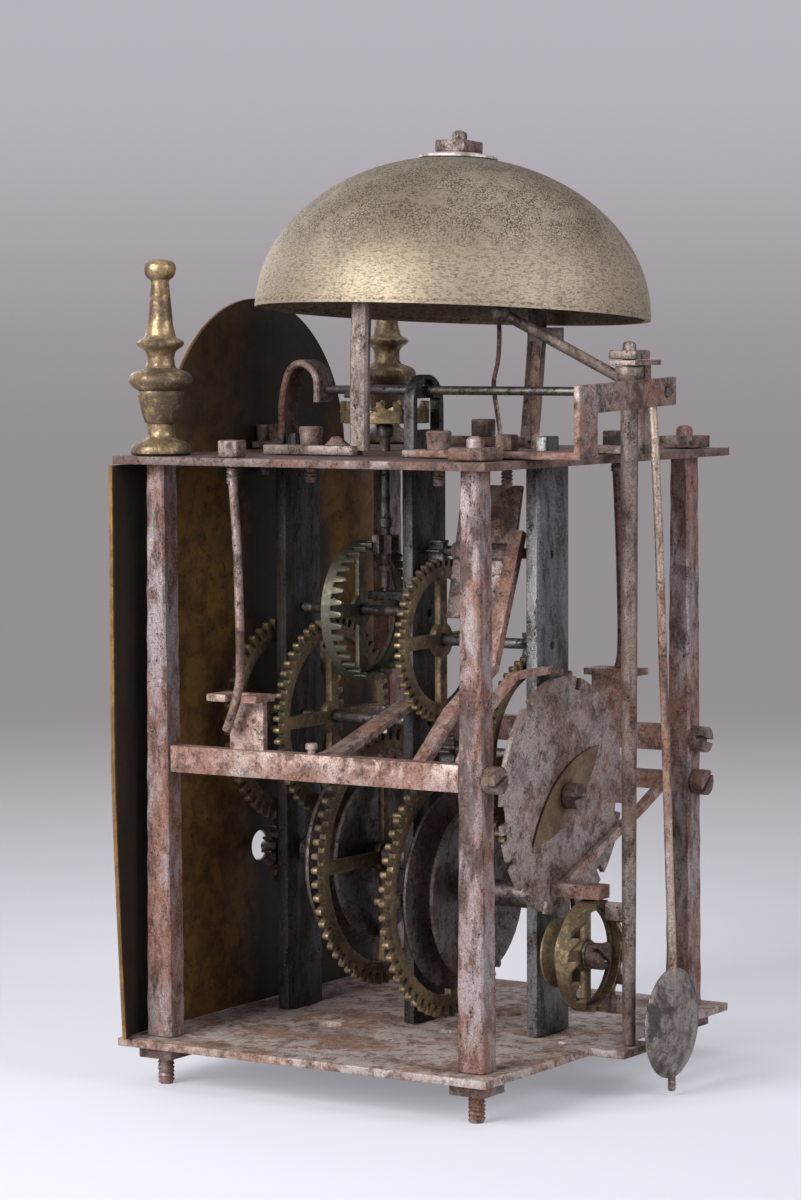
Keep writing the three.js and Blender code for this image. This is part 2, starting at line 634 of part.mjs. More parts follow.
// A turned finial with a socket for the post's stud. Shares of its radius and of its height.
function finial(x, y) {
  const outlineShares = [
    [0.88, 0.012],
    [0.94, 0.03],
    [0.87, 0.053],
    [0.43, 0.091],
    [0.43, 0.158],
    [0.52, 0.165],
    [0.58, 0.205],
    [0.67, 0.264],
    [0.73, 0.325],
    [0.8, 0.333],
    [1, 0.38],
    [0.8, 0.424],
    [0.47, 0.446],
    [0.43, 0.507],
    [0.57, 0.541],
    [0.74, 0.571],
    [0.6, 0.591],
    [0.4, 0.658],
    [0.32, 0.809],
    [0.275, 0.886],
    [0.41, 0.908],
    [0.5, 0.954],
    [0.44, 0.983],
    [0.23, 0.998],
  ];
  const profile = outlineShares.map(([radius, height]) => [radius * FINIAL_RADIUS, height * FINIAL_HEIGHT]);
  const socket = STUD_RADIUS + FIT;
  const closed = [
    [0, FINIAL_SOCKET],
    [socket, FINIAL_SOCKET],
    [socket, 0],
    [profile[0][0], 0],
    ...profile,
    [0, FINIAL_HEIGHT],
  ];
  return turned(closed, ROUND).translate(x, y, ROOF_Z + FIT);
}

// Upright bars: tenons through both plates, pivot holes for the arbors that end in them.
const tenonTop = ROOF_Z + TENON_RISE;
function bar(y, top, topWidth) {
  return join(
    block(
      [-BAR_WIDTH / 2, barFace(y, -1), FLOOR_Z + FIT],
      [BAR_WIDTH / 2, barFace(y, 1), CEILING_Z - FIT],
    ),
    block([-TENON_WIDTH / 2, barFace(y, -1), 0], [TENON_WIDTH / 2, barFace(y, 1), FLOOR_Z + OVERRUN]),
    block([-topWidth / 2, barFace(y, -1), CEILING_Z - OVERRUN], [topWidth / 2, barFace(y, 1), top]),
  );
}
const pivotHole = (z, from, to) => lengthways(PIVOT_RADIUS + PIVOT_PLAY, 0, z, from, to);
const HOUR_STUD_RADIUS = 2.6;
const PIPE_END_Y = HAND_Y - HAND_THICK - FIT;
add(
  "bar_front",
  join(
    cut(
      bar(BAR_FRONT_Y, tenonTop, TENON_TOP_WIDTH),
      ...[GOING_SECOND_Z, CONTRATE_Z].map((z) =>
        pivotHole(z, barFace(BAR_FRONT_Y, -1) + OVERRUN, barFace(BAR_FRONT_Y, 1) + OVERRUN),
      ),
      lengthways(
        ARBOR_RADIUS + PIVOT_PLAY,
        0,
        GOING_GREAT_Z,
        barFace(BAR_FRONT_Y, -1) - OVERRUN,
        barFace(BAR_FRONT_Y, 1) + OVERRUN,
      ),
    ),
    lengthways(HOUR_STUD_RADIUS, 0, HOUR_Z, PIPE_END_Y, barFace(BAR_FRONT_Y, -1) + FIT),
  ),
  DARK_IRON,
);

// The middle bar's head stands over the crown wheel as a bridge and lets the verge through.
// A potence on its front face carries the foot of the crown wheel's arbor.
const BRIDGE_SILL_Z = ROOF_Z + FIT;
const bridgeOutline = new THREE.Shape();
bridgeOutline.moveTo(-BRIDGE_WIDTH / 2, BRIDGE_SILL_Z);
bridgeOutline.lineTo(BRIDGE_WIDTH / 2, BRIDGE_SILL_Z);
bridgeOutline.lineTo(BRIDGE_WIDTH / 2, BRIDGE_SHOULDER_Z);
bridgeOutline.absarc(0, BRIDGE_SHOULDER_Z, BRIDGE_WIDTH / 2, 0, Math.PI, false);
const bridge = plateOf(bridgeOutline, BAR_THICK).rotateX(Math.PI / 2).translate(0, barFace(BAR_MIDDLE_Y, 1), 0);
const potenceTop = POTENCE_Z + POTENCE_THICK;
const pivotHeights = [
  GOING_GREAT_Z,
  STRIKE_GREAT_Z,
  GOING_SECOND_Z,
  STRIKE_SECOND_Z,
  CONTRATE_Z,
  STRIKE_THIRD_Z,
  FLY_Z,
];
const potence = block(
  [-POTENCE_WIDTH / 2, CROWN_Y - POTENCE_REACH, POTENCE_Z],
  [POTENCE_WIDTH / 2, barFace(BAR_MIDDLE_Y, 0), potenceTop],
);
add(
  "bar_middle",
  cut(
    join(bar(BAR_MIDDLE_Y, BRIDGE_SILL_Z + OVERRUN, BRIDGE_WIDTH), bridge, potence),
    block(
      [-BRIDGE_OPENING / 2, barFace(BAR_MIDDLE_Y, -1) - OVERRUN, CROWN_BAND_Z - 2 * OVERRUN],
      [BRIDGE_OPENING / 2, barFace(BAR_MIDDLE_Y, 1) + OVERRUN, CROWN_TIP_Z + OVERRUN],
    ),
    lengthways(
      palletReach + FIT,
      0,
      VERGE_Z,
      barFace(BAR_MIDDLE_Y, -1) - OVERRUN,
      barFace(BAR_MIDDLE_Y, 1) + OVERRUN,
      ROUND,
    ),
    ...pivotHeights.map((z) =>
      pivotHole(z, barFace(BAR_MIDDLE_Y, -1) - OVERRUN, barFace(BAR_MIDDLE_Y, 1) + OVERRUN),
    ),
    upright(PIVOT_RADIUS + PIVOT_PLAY, 0, CROWN_Y, POTENCE_Z + FIT, potenceTop + OVERRUN),
  ),
  DARK_IRON,
);

// The rear bar also carries the count wheel's and the alarm wheel's screws.
add(
  "bar_rear",
  cut(
    bar(BAR_REAR_Y, tenonTop, TENON_TOP_WIDTH),
    ...[
      [JOURNAL_RADIUS + PIVOT_PLAY, 0, STRIKE_GREAT_Z],
      [COUNT_STUD_RADIUS + FIT, 0, COUNT_Z],
      [SCREW_RADIUS + FIT, ALARM_X, ALARM_Z],
      [PIVOT_RADIUS + PIVOT_PLAY, 0, STRIKE_SECOND_Z],
      [PIVOT_RADIUS + PIVOT_PLAY, 0, STRIKE_THIRD_Z],
      [PIVOT_RADIUS + PIVOT_PLAY, 0, FLY_Z],
    ].map(([radius, x, z]) =>
      lengthways(radius, x, z, barFace(BAR_REAR_Y, -1) - OVERRUN, barFace(BAR_REAR_Y, 1) + OVERRUN),
    ),
  ),
  WORN_STEEL,
);

// An arbor between two bars: pivots at both ends, a body of one radius, and a pinion.
function pivotedArbor(fromY, toY, z, pinion) {
  const front = fromY + FIT;
  const rear = toY - FIT;
  const reach = BAR_THICK - OVERRUN;
  const body = arborAlong(
    [
      [0, front - reach],
      [PIVOT_RADIUS, front - reach],
      [PIVOT_RADIUS, front],
      [ARBOR_RADIUS, front],
      [ARBOR_RADIUS, rear],
      [PIVOT_RADIUS, rear],
      [PIVOT_RADIUS, rear + reach],
      [0, rear + reach],
    ],
    0,
    z,
  );
  return pinion ? join(body, pinion) : body;
}

// A rope pulley on its arbor's axis: two flanges and a groove, from one end to the other.
function pulley(radius, from, to, z) {
  const groove = radius - PULLEY_GROOVE;
  const middle = (from + to) / 2;
  const lip = radius - PULLEY_GROOVE / 3;
  return arborAlong(
    [
      [0, from],
      [radius, from],
      [radius, from + PULLEY_FLANGE],
      [groove, middle],
      [lip, to - PULLEY_FLANGE],
      [lip, to],
      [0, to],
    ],
    0,
    z,
    MEDIUM,
  );
}

// Going train. The great wheel's pulley is in front of it, and its arbor runs out to drive the hour wheel.
const wheelFace = (y, end) => y + end * (WHEEL_THICK / 2 + FIT);
const WHEEL_SEAT = GREAT_ARBOR_RADIUS;
add(
  "going_great_wheel",
  crossedWheel(GREAT_TEETH, GREAT_MESH, LEAVES, WHEEL_SEAT + FIT, GOING_GREAT_Y, GOING_GREAT_Z),
  AGED_BRASS,
);
const REPORT_LENGTH = 3.8;
const goingPulleyRear = wheelFace(GOING_GREAT_Y, -1);
const goingPulleyFront = goingPulleyRear - GOING_PULLEY_LENGTH;
const greatArborRear = SPACE.going[1] - FIT;
add(
  "going_great_arbor",
  join(
    arborAlong(
      [
        [0, DIAL_REAR_Y + OVERRUN],
        [ARBOR_RADIUS, DIAL_REAR_Y + OVERRUN],
        [ARBOR_RADIUS, SPACE.going[0] + FIT],
        [WHEEL_SEAT, SPACE.going[0] + FIT],
        [WHEEL_SEAT, greatArborRear],
        [PIVOT_RADIUS, greatArborRear],
        [PIVOT_RADIUS, greatArborRear + BAR_THICK],
        [0, greatArborRear + BAR_THICK],
      ],
      0,
      GOING_GREAT_Z,
      ROUND,
    ),
    pulley(GOING_PULLEY_RADIUS, goingPulleyFront, goingPulleyRear, GOING_GREAT_Z),
    toLengthways(
      plateOf(
        toothedOutline(REPORT_LEAVES, (HOUR_MESH * REPORT_LEAVES) / (REPORT_LEAVES + HOUR_TEETH), LEAF_SHARES),
        REPORT_LENGTH,
      ),
      0,
      HOUR_Y - REPORT_LENGTH / 2,
      GOING_GREAT_Z,
    ),
  ),
  DARK_IRON,
);
add(
  "going_second_wheel",
  crossedWheel(SECOND_TEETH, SECOND_MESH, LEAVES, ARBOR_RADIUS + FIT, GOING_SECOND_Y, GOING_SECOND_Z, 0.5),
  AGED_BRASS,
);
const PINION_LENGTH = 5.5;
const leavesAt = (y, mesh, teeth, z) =>
  pinionAlong(LEAVES, mesh, teeth, y - PINION_LENGTH / 2, y + PINION_LENGTH / 2, z);
add(
  "going_second_arbor",
  pivotedArbor(
    ...SPACE.going,
    GOING_SECOND_Z,
    leavesAt(GOING_GREAT_Y, GREAT_MESH, GREAT_TEETH, GOING_SECOND_Z),
  ),
  WORN_STEEL,
);

// Contrate wheel: a band with teeth towards the rear, on four arms.
const contratePinionRadius = ((CONTRATE_RADIUS - CROWN_RIM / 2) * LEAVES) / CONTRATE_TEETH;
const contrateModule = (2 * contratePinionRadius) / LEAVES;
const contrateTip = CROWN_Y - contratePinionRadius + WHEEL_TOOTH_SHARES.tip * contrateModule - CONTRATE_BACK_Y;
const pointedTooth = (root, tip) => [
  [-0.5, root],
  [0, tip],
];
const sawtooth = (root, tip) => [
  [0, root],
  [0.06, tip],
  [0.2, tip],
];
// The arms, hub and bore that a toothed ring stands on.
function ringArms(outer, inner, bore, thickness) {
  const disc = circleOutline((outer + inner) / 2, FINE);
  return plateOf(crossOut(disc, inner - FIT, bore, HUB_RADIUS, ARM_WIDTH), thickness);
}
const ARM_THICK = 1.6;
const CONTRATE_INNER = CONTRATE_RADIUS - CROWN_RIM;
const contrateTooth = pointedTooth(CONTRATE_BAND - OVERRUN, contrateTip);
add(
  "contrate_wheel",
  toLengthways(
    join(
      toothedRing(CONTRATE_TEETH, CONTRATE_INNER, CONTRATE_RADIUS, contrateTooth),
      ringArms(CONTRATE_RADIUS, CONTRATE_INNER, ARBOR_RADIUS + FIT, ARM_THICK),
    ),
    0,
    CONTRATE_BACK_Y,
    CONTRATE_Z,
  ),
  GREEN_BRASS,
);
add(
  "contrate_arbor",
  pivotedArbor(...SPACE.going, CONTRATE_Z, leavesAt(GOING_SECOND_Y, SECOND_MESH, SECOND_TEETH, CONTRATE_Z)),
  WORN_STEEL,
);

// Crown wheel, flat above the top plate, on an upright arbor from the potence.
const CROWN_INNER = CROWN_RADIUS - CROWN_RIM;
add(
  "crown_wheel",
  join(
    toothedRing(CROWN_TEETH, CROWN_INNER, CROWN_RADIUS, sawtooth(CROWN_BAND, CROWN_BAND + CROWN_TOOTH)),
    ringArms(CROWN_RADIUS, CROWN_INNER, ARBOR_RADIUS + FIT, ARM_THICK),
  ).translate(0, CROWN_Y, CROWN_BAND_Z),
  AGED_BRASS,
);
const CROWN_PINION_LENGTH = 6;
const crownPinionZ = CONTRATE_Z + CONTRATE_RADIUS - CROWN_RIM / 2;
add(
  "crown_arbor",
  join(
    turned(
      [
        [0, POTENCE_Z + 2 * FIT],
        [PIVOT_RADIUS, POTENCE_Z + 2 * FIT],
        [PIVOT_RADIUS, potenceTop + OVERRUN],
        [ARBOR_RADIUS, potenceTop + OVERRUN],
        [ARBOR_RADIUS, ROOF_Z + TENON_RISE],
        [ARBOR_RADIUS * 1.6, ROOF_Z + TENON_RISE],
        [ARBOR_RADIUS * 1.6, CROWN_BAND_Z - FIT],
        [ARBOR_RADIUS, CROWN_BAND_Z - FIT],
        [ARBOR_RADIUS, CROWN_BAND_Z + CROWN_BAND],
        [0, CROWN_BAND_Z + CROWN_BAND],
      ],
      SMALL,
    ).translate(0, CROWN_Y, 0),
    plateOf(toothedOutline(LEAVES, contratePinionRadius, LEAF_SHARES), CROWN_PINION_LENGTH).translate(
      0,
      CROWN_Y,
      crownPinionZ - CROWN_PINION_LENGTH / 2,
    ),
  ),
  WORN_STEEL,
);

// Verge: a thin arbor over the crown wheel, with two pallets at a right angle to each other.
const PALLET_LENGTH = 4;
const PALLET_THICK = 1.1;
const pallet = (end) =>
  block([-PALLET_THICK / 2, -PALLET_LENGTH / 2, -palletReach], [PALLET_THICK / 2, PALLET_LENGTH / 2, 0])
    .rotateY((end * Math.PI) / 4)
    .translate(0, CROWN_Y + end * (CROWN_RADIUS - PALLET_LENGTH / 2), VERGE_Z);
const vergeRear = REAR_COCK_Y + COCK_THICK / 2 + OVERRUN;
add(
  "verge",
  join(
    lengthways(VERGE_RADIUS, 0, VERGE_Z, VERGE_FRONT_Y - COCK_THICK, vergeRear),
    pallet(-1),
    pallet(1),
  ),
  WORN_STEEL,
);

// Pendulum: a bent rod with an eye on the verge, and a lens bob above its threaded tail.
const EYE_RADIUS = 3.2;
const EYE_LENGTH = 4.6;
const ROD_STRAIGHT = 4;
const rodTop = VERGE_Z + EYE_RADIUS / 2;
const bobTop = BOB_Z + BOB_RADIUS;
const rodLine = (share) => [
  0,
  ROD_TOP_Y + ROD_BEND * Math.pow(share, 0.8),
  rodTop + (bobTop + ROD_STRAIGHT - rodTop) * share,
];
const rodPoints = [0, 0.25, 0.5, 0.75, 1].map(rodLine);
rodPoints.push([0, ROD_TOP_Y + ROD_BEND, bobTop], [0, ROD_TOP_Y + ROD_BEND, ROD_TAIL_Z]);
add(
  "pendulum_rod",
  cut(
    join(
      bentRod(rodPoints, ROD_RADIUS, 10),
      lengthways(EYE_RADIUS, 0, VERGE_Z, ROD_TOP_Y - EYE_LENGTH / 2, ROD_TOP_Y + EYE_LENGTH / 2, ROUND),
    ),
    lengthways(VERGE_RADIUS + FIT, 0, VERGE_Z, ROD_TOP_Y - EYE_LENGTH, ROD_TOP_Y + EYE_LENGTH),
  ),
  RUSTY_IRON,
);
const lensShares = [0, 0.3, 0.6, 0.85, 0.97];
const lensEdge = (share) => (BOB_THICK / 2) * (1 - share * share) + FIT;
add(
  "pendulum_bob",
  cut(
    toLengthways(
      turned(
        [
          ...lensShares.map((share) => [share * BOB_RADIUS, -lensEdge(share)]),
          ...[...lensShares].reverse().map((share) => [share * BOB_RADIUS, lensEdge(share)]),
        ],
        FINE,
      ),
      0,
      ROD_TOP_Y + ROD_BEND,
      BOB_Z,
    ),
    upright(ROD_RADIUS + FIT, 0, ROD_TOP_Y + ROD_BEND, BOB_Z - BOB_RADIUS - OVERRUN, bobTop + OVERRUN),
  ),
  WORN_STEEL,
);

// Cocks that hold the verge: a curled strap in front, a long stepped strap behind.
const cockFoot = ROOF_Z + FIT + COCK_THICK / 2;
const FRONT_COCK_RISE = 9;
const COCK_DROP = 4;
const COCK_STEP = 1;
const COCK_SET_OFF = 3.5;
const COCK_FOOT = 7.5;
const cockBendY = BAR_FRONT_Y - COCK_SET_OFF;
// Shares of the run from the verge's front end to the bend over the foot, and of the rise over the verge.
const cockCurlShares = [
  [0.815, 0.61],
  [0.481, 0.94],
  [0.148, 0.72],
  [0, 0.33],
];
add(
  "front_cock",
  cut(
    stripLengthways(
      [
        [cockBendY - COCK_STEP - COCK_FOOT, cockFoot],
        [cockBendY - COCK_STEP, cockFoot],
        [cockBendY, VERGE_Z - COCK_DROP],
        ...cockCurlShares.map(([run, rise]) => [
          VERGE_FRONT_Y + run * (cockBendY - VERGE_FRONT_Y),
          VERGE_Z + rise * FRONT_COCK_RISE,
        ]),
        [VERGE_FRONT_Y, VERGE_Z - COCK_DROP],
      ],
      COCK_THICK,
      COCK_WIDTH,
      0,
    ),
    lengthways(
      VERGE_RADIUS + PIVOT_PLAY,
      0,
      VERGE_Z,
      VERGE_FRONT_Y - 2 * COCK_THICK,
      VERGE_FRONT_Y + COCK_THICK,
    ),
  ),
  DARK_IRON,
);
const cockOuter = REAR_COCK_X + REAR_COCK_WIDTH / 2;
const ARM_END_X = -6;
const ARM_HEIGHT = 8.6;
const ARM_DROP = 5.8;
const ARM_LIFT = 4.6;
const rearCockBend = [
  [cockOuter, VERGE_Z - ARM_DROP],
  [cockOuter, VERGE_Z - ARM_DROP + ARM_HEIGHT],
  [ARM_END_X, VERGE_Z + ARM_LIFT],
  [ARM_END_X, VERGE_Z + ARM_LIFT - ARM_HEIGHT],
];
const armShape = new THREE.Shape(rearCockBend.map(([x, z]) => new THREE.Vector2(x, z)));
add(
  "rear_cock",
  cut(
    join(
      block(
        [cockOuter - REAR_COCK_WIDTH, REAR_COCK_Y - REAR_COCK_FOOT, ROOF_Z + FIT],
        [cockOuter, REAR_COCK_Y + COCK_THICK / 2, ROOF_Z + FIT + COCK_THICK],
      ),
      block(
        [cockOuter - REAR_COCK_WIDTH, REAR_COCK_Y - COCK_THICK / 2, ROOF_Z + FIT],
        [cockOuter, REAR_COCK_Y + COCK_THICK / 2, VERGE_Z],
      ),
      plateOf(armShape, COCK_THICK).rotateX(Math.PI / 2).translate(0, REAR_COCK_Y + COCK_THICK / 2, 0),
    ),
    lengthways(VERGE_RADIUS + PIVOT_PLAY, 0, VERGE_Z, REAR_COCK_Y - COCK_THICK, REAR_COCK_Y + COCK_THICK),
  ),
  RUSTY_IRON,
);

// Hour wheel on its stud, with the pipe that comes through the dial and carries the hand.
const hourPitchRadius = (HOUR_MESH * HOUR_TEETH) / (HOUR_TEETH + REPORT_LEAVES);
const hourPhase = -Math.PI / 2 + Math.PI / HOUR_TEETH;
const hourOutline = crossOut(
  toothedOutline(HOUR_TEETH, hourPitchRadius, WHEEL_TOOTH_SHARES, -hourPhase),
  hourPitchRadius - 2 * RIM_WIDTH,
  PIPE_RADIUS - OVERRUN,
  PIPE_RADIUS + RIM_WIDTH,
);
const pipeBore = HOUR_STUD_RADIUS + PIVOT_PLAY;
const handSeat = PIPE_RADIUS - 2 * FIT;
const hourFront = HOUR_Y - WHEEL_THICK / 2;
add(
  "hour_wheel",
  join(
    toLengthways(plateOf(hourOutline, WHEEL_THICK), 0, hourFront, HOUR_Z),
    arborAlong(
      [
        [pipeBore, PIPE_END_Y],
        [handSeat, PIPE_END_Y],
        [handSeat, HAND_Y + FIT],
        [PIPE_RADIUS, HAND_Y + FIT],
        [PIPE_RADIUS, HOUR_Y + WHEEL_THICK],
        [pipeBore, HOUR_Y + WHEEL_THICK],
        [pipeBore, PIPE_END_Y],
      ],
      0,
      HOUR_Z,
      ROUND,
    ),
  ),
  AGED_BRASS,
);

// One hand: a boss, a tail, and a long blade with a swell and a point.
const handHalf = [
  [HAND_LENGTH, 0],
  [HAND_LENGTH * 0.78, HAND_SWELL * 0.3],
  [HAND_LENGTH * 0.66, HAND_SWELL],
  [HAND_LENGTH * 0.52, HAND_SWELL * 0.39],
  [HAND_LENGTH * 0.2, HAND_SWELL * 0.43],
  [PIPE_RADIUS, PIPE_RADIUS + HAND_THICK],
  [-PIPE_RADIUS, PIPE_RADIUS + HAND_THICK],
  [-HAND_TAIL * 0.6, HAND_SWELL * 0.35],
  [-HAND_TAIL, HAND_SWELL * 0.565],
];
const handOutline = new THREE.Shape([
  ...handHalf.map(([along, across]) => new THREE.Vector2(across, along)),
  ...handHalf
    .slice(1)
    .reverse()
    .map(([along, across]) => new THREE.Vector2(-across, along)),
]);
handOutline.holes.push(circleOutline(handSeat + FIT, ROUND));
add(
  "hour_hand",
  plateOf(handOutline, HAND_THICK).rotateX(Math.PI / 2).translate(0, HAND_Y, HOUR_Z),
  DARK_IRON,
);

// Dial plate, square between the two plates, with an arch that stands through the top plate's notch, and the
// chapter ring on it.
const dialFoot = FLOOR_Z + FIT;
const dialShoulder = CEILING_Z - FIT;
const dialOutline = new THREE.Shape();
dialOutline.moveTo(-DIAL_WIDTH / 2, dialFoot);
dialOutline.lineTo(DIAL_WIDTH / 2, dialFoot);
dialOutline.lineTo(DIAL_WIDTH / 2, dialShoulder);
dialOutline.lineTo(ARCH_RADIUS, dialShoulder);
dialOutline.absarc(0, dialShoulder, ARCH_RADIUS, 0, Math.PI, false);
dialOutline.lineTo(-DIAL_WIDTH / 2, dialShoulder);
const holeAt = (radius, z) => {
  const points = circleOutline(radius, ROUND).getPoints();
  return new THREE.Path(points.map((point) => new THREE.Vector2(point.x, point.y + z)));
};
dialOutline.holes.push(holeAt(PIPE_RADIUS + OVERRUN, HOUR_Z), holeAt(ARBOR_HOLE_RADIUS, GOING_GREAT_Z));
add(
  "dial_plate",
  new THREE.ExtrudeGeometry(dialOutline, { depth: DIAL_THICK, bevelEnabled: false, curveSegments: FINE })
    .rotateX(Math.PI / 2)
    .translate(0, DIAL_REAR_Y, 0),
  AGED_BRASS,
);
const ringOutline = circleOutline(CHAPTER_OUTER, 2 * FINE);
ringOutline.holes.push(circleOutline(CHAPTER_INNER, 2 * FINE));
add(
  "chapter_ring",
  plateOf(ringOutline, CHAPTER_THICK).rotateX(Math.PI / 2).translate(0, DIAL_Y - FIT, HOUR_Z),
  SILVERED,
);

// Strike train. The great wheel carries the hammer pins in front and a dished pulley behind.
const strikePitchRadius = (GREAT_MESH * GREAT_TEETH) / (GREAT_TEETH + LEAVES);
const hammerPinCircle = strikePitchRadius - HAMMER_PIN_INSET + HAMMER_PIN_RADIUS;
const hammerPins = [];
for (let i = 0; i < HAMMER_PINS; i++) {
  const angle = (i / HAMMER_PINS) * 2 * Math.PI;
  hammerPins.push(
    lengthways(
      HAMMER_PIN_RADIUS,
      hammerPinCircle * Math.cos(angle),
      STRIKE_GREAT_Z + hammerPinCircle * Math.sin(angle),
      STRIKE_GREAT_Y - WHEEL_THICK / 2 - HAMMER_PIN_LENGTH,
      STRIKE_GREAT_Y,
      6,
    ),
  );
}
add(
  "strike_great_wheel",
  join(
    crossedWheel(GREAT_TEETH, GREAT_MESH, LEAVES, WHEEL_SEAT + FIT, STRIKE_GREAT_Y, STRIKE_GREAT_Z),
    ...hammerPins,
  ),
  AGED_BRASS,
);
const strikePulleyFront = wheelFace(STRIKE_GREAT_Y, 1);
const countFront = barFace(BAR_REAR_Y, 1) + FIT;
const countDiscFront = COUNT_DISC_Y - COUNT_DISC_THICK / 2;
const strikeArborFront = SPACE.strike[0] + FIT;
add(
  "strike_great_arbor",
  join(
    arborAlong(
      [
        [0, strikeArborFront - BAR_THICK],
        [PIVOT_RADIUS, strikeArborFront - BAR_THICK],
        [PIVOT_RADIUS, strikeArborFront],
        [WHEEL_SEAT, strikeArborFront],
        [WHEEL_SEAT, SPACE.strike[1] - FIT],
        [JOURNAL_RADIUS, SPACE.strike[1] - FIT],
        [JOURNAL_RADIUS, countFront - FIT],
        [OVERRUN, countFront - FIT],
        [OVERRUN, countDiscFront - FIT],
        [0, countDiscFront - FIT],
      ],
      0,
      STRIKE_GREAT_Z,
      ROUND,
    ),
    pulley(STRIKE_PULLEY_RADIUS, strikePulleyFront, strikePulleyFront + STRIKE_PULLEY_LENGTH, STRIKE_GREAT_Z),
    toLengthways(
      plateOf(
        toothedOutline(COUNT_LEAVES, (COUNT_MESH * COUNT_LEAVES) / (COUNT_LEAVES + COUNT_TEETH), LEAF_SHARES),
        countDiscFront - FIT - countFront,
      ),
      0,
      countFront,
      STRIKE_GREAT_Z,
    ),
  ),
  DARK_IRON,
);
add(
  "strike_second_wheel",
  crossedWheel(SECOND_TEETH, SECOND_MESH, LEAVES, ARBOR_RADIUS + FIT, STRIKE_SECOND_Y, STRIKE_SECOND_Z, 0.5),
  AGED_BRASS,
);
add(
  "strike_second_arbor",
  pivotedArbor(
    ...SPACE.strike,
    STRIKE_SECOND_Z,
    leavesAt(STRIKE_GREAT_Y, GREAT_MESH, GREAT_TEETH, STRIKE_SECOND_Z),
  ),
  WORN_STEEL,
);
add(
  "strike_third_wheel",
  crossedWheel(THIRD_TEETH, THIRD_MESH, LEAVES, ARBOR_RADIUS + FIT, STRIKE_THIRD_Y, STRIKE_THIRD_Z),
  AGED_BRASS,
);
const thirdPinionRear = SPACE.strike[1] - 2 * FIT;
const thirdPinionFront = thirdPinionRear - PINION_LENGTH;
add(
  "strike_third_arbor",
  pivotedArbor(
    ...SPACE.strike,
    STRIKE_THIRD_Z,
    pinionAlong(LEAVES, SECOND_MESH, SECOND_TEETH, thirdPinionFront, thirdPinionRear, STRIKE_THIRD_Z),
  ),
  WORN_STEEL,
);
const flyPinionFront = SPACE.strike[0] + 2 * FIT;
add(
  "fly_arbor",
  pivotedArbor(
    ...SPACE.strike,
    FLY_Z,
    pinionAlong(LEAVES, THIRD_MESH, THIRD_TEETH, flyPinionFront, flyPinionFront + PINION_LENGTH, FLY_Z),
  ),
  WORN_STEEL,
);

// Fly: a flat vane with a tube along its middle that grips the arbor.
const FLY_TUBE_WALL = 1.3;
const FLY_TUBE_RADIUS = ARBOR_RADIUS + FLY_TUBE_WALL;
add(
  "fly_vane",
  cut(
    join(
      block([-FLY_THICK / 2, 0, -FLY_SPAN / 2], [FLY_THICK / 2, FLY_LENGTH, FLY_SPAN / 2]),
      lengthways(FLY_TUBE_RADIUS, 0, 0, 0, FLY_LENGTH),
    ),
    lengthways(ARBOR_RADIUS + FIT, 0, 0, -OVERRUN, FLY_LENGTH + OVERRUN),
  )
    .rotateY((-FLY_TILT * Math.PI) / 180)
    .translate(0, FLY_START_Y, FLY_Z),
  RUSTY_IRON,
);

// Count wheel: 78 parts of a turn, raised for each hour's blows and notched between them.
const BLOWS_IN_A_ROUND = 78;
const BLOWS_A_STEP = 2.5;
const notchShare = 0.15;
const countPoints = [];
let countedBlows = 0;
for (let hour = 1; hour <= 12; hour++) {
  const from = countedBlows + 1 - notchShare;
  const to = countedBlows + hour - notchShare;
  const steps = Math.max(1, Math.ceil((to - from) / BLOWS_A_STEP));
  const turn = (blow) => (blow / BLOWS_IN_A_ROUND) * 2 * Math.PI;
  const place = (radius, blow) =>
    new THREE.Vector2(radius * Math.cos(turn(blow)), radius * Math.sin(turn(blow)));
  countPoints.push(place(COUNT_RADIUS - COUNT_NOTCH, countedBlows - notchShare));
  countPoints.push(place(COUNT_RADIUS - COUNT_NOTCH, from));
  if (to > from)
    for (let i = 0; i <= steps; i++) countPoints.push(place(COUNT_RADIUS, from + ((to - from) * i) / steps));
  countedBlows += hour;
}
const countOutline = new THREE.Shape(countPoints);
const countBore = COUNT_STUD_RADIUS + PIVOT_PLAY;
countOutline.holes.push(circleOutline(countBore, SMALL));
const countPitchRadius = (COUNT_MESH * COUNT_TEETH) / (COUNT_TEETH + COUNT_LEAVES);
const countPhase = Math.PI / 2 + Math.PI / COUNT_TEETH;
const countGear = toothedOutline(COUNT_TEETH, countPitchRadius, WHEEL_TOOTH_SHARES, countPhase);
countGear.holes.push(circleOutline(countPitchRadius - 2 * RIM_WIDTH, FINE));
add(
  "count_wheel",
  join(
    toLengthways(plateOf(countOutline, COUNT_DISC_THICK), 0, countDiscFront, COUNT_Z),
    toLengthways(plateOf(countGear, countDiscFront + FIT - countFront), 0, countFront, COUNT_Z),
  ),
  RUSTY_IRON,
);
const countDiscRear = countDiscFront + COUNT_DISC_THICK;
const SPRING_THICK = 0.9;
const SPRING_TURN = 34;
const springShape = new THREE.Shape();
springShape.moveTo(-COUNT_SPRING_LENGTH / 2, 0);
springShape.quadraticCurveTo(0, -COUNT_SPRING_WIDTH, COUNT_SPRING_LENGTH / 2, 0);
springShape.quadraticCurveTo(0, COUNT_SPRING_WIDTH, -COUNT_SPRING_LENGTH / 2, 0);
springShape.holes.push(circleOutline(countBore, SMALL));
add(
  "count_wheel_spring",
  toLengthways(
    plateOf(springShape, SPRING_THICK).rotateZ((SPRING_TURN * Math.PI) / 180),
    0,
    countDiscRear + FIT,
    COUNT_Z,
  ),
  AGED_BRASS,
);

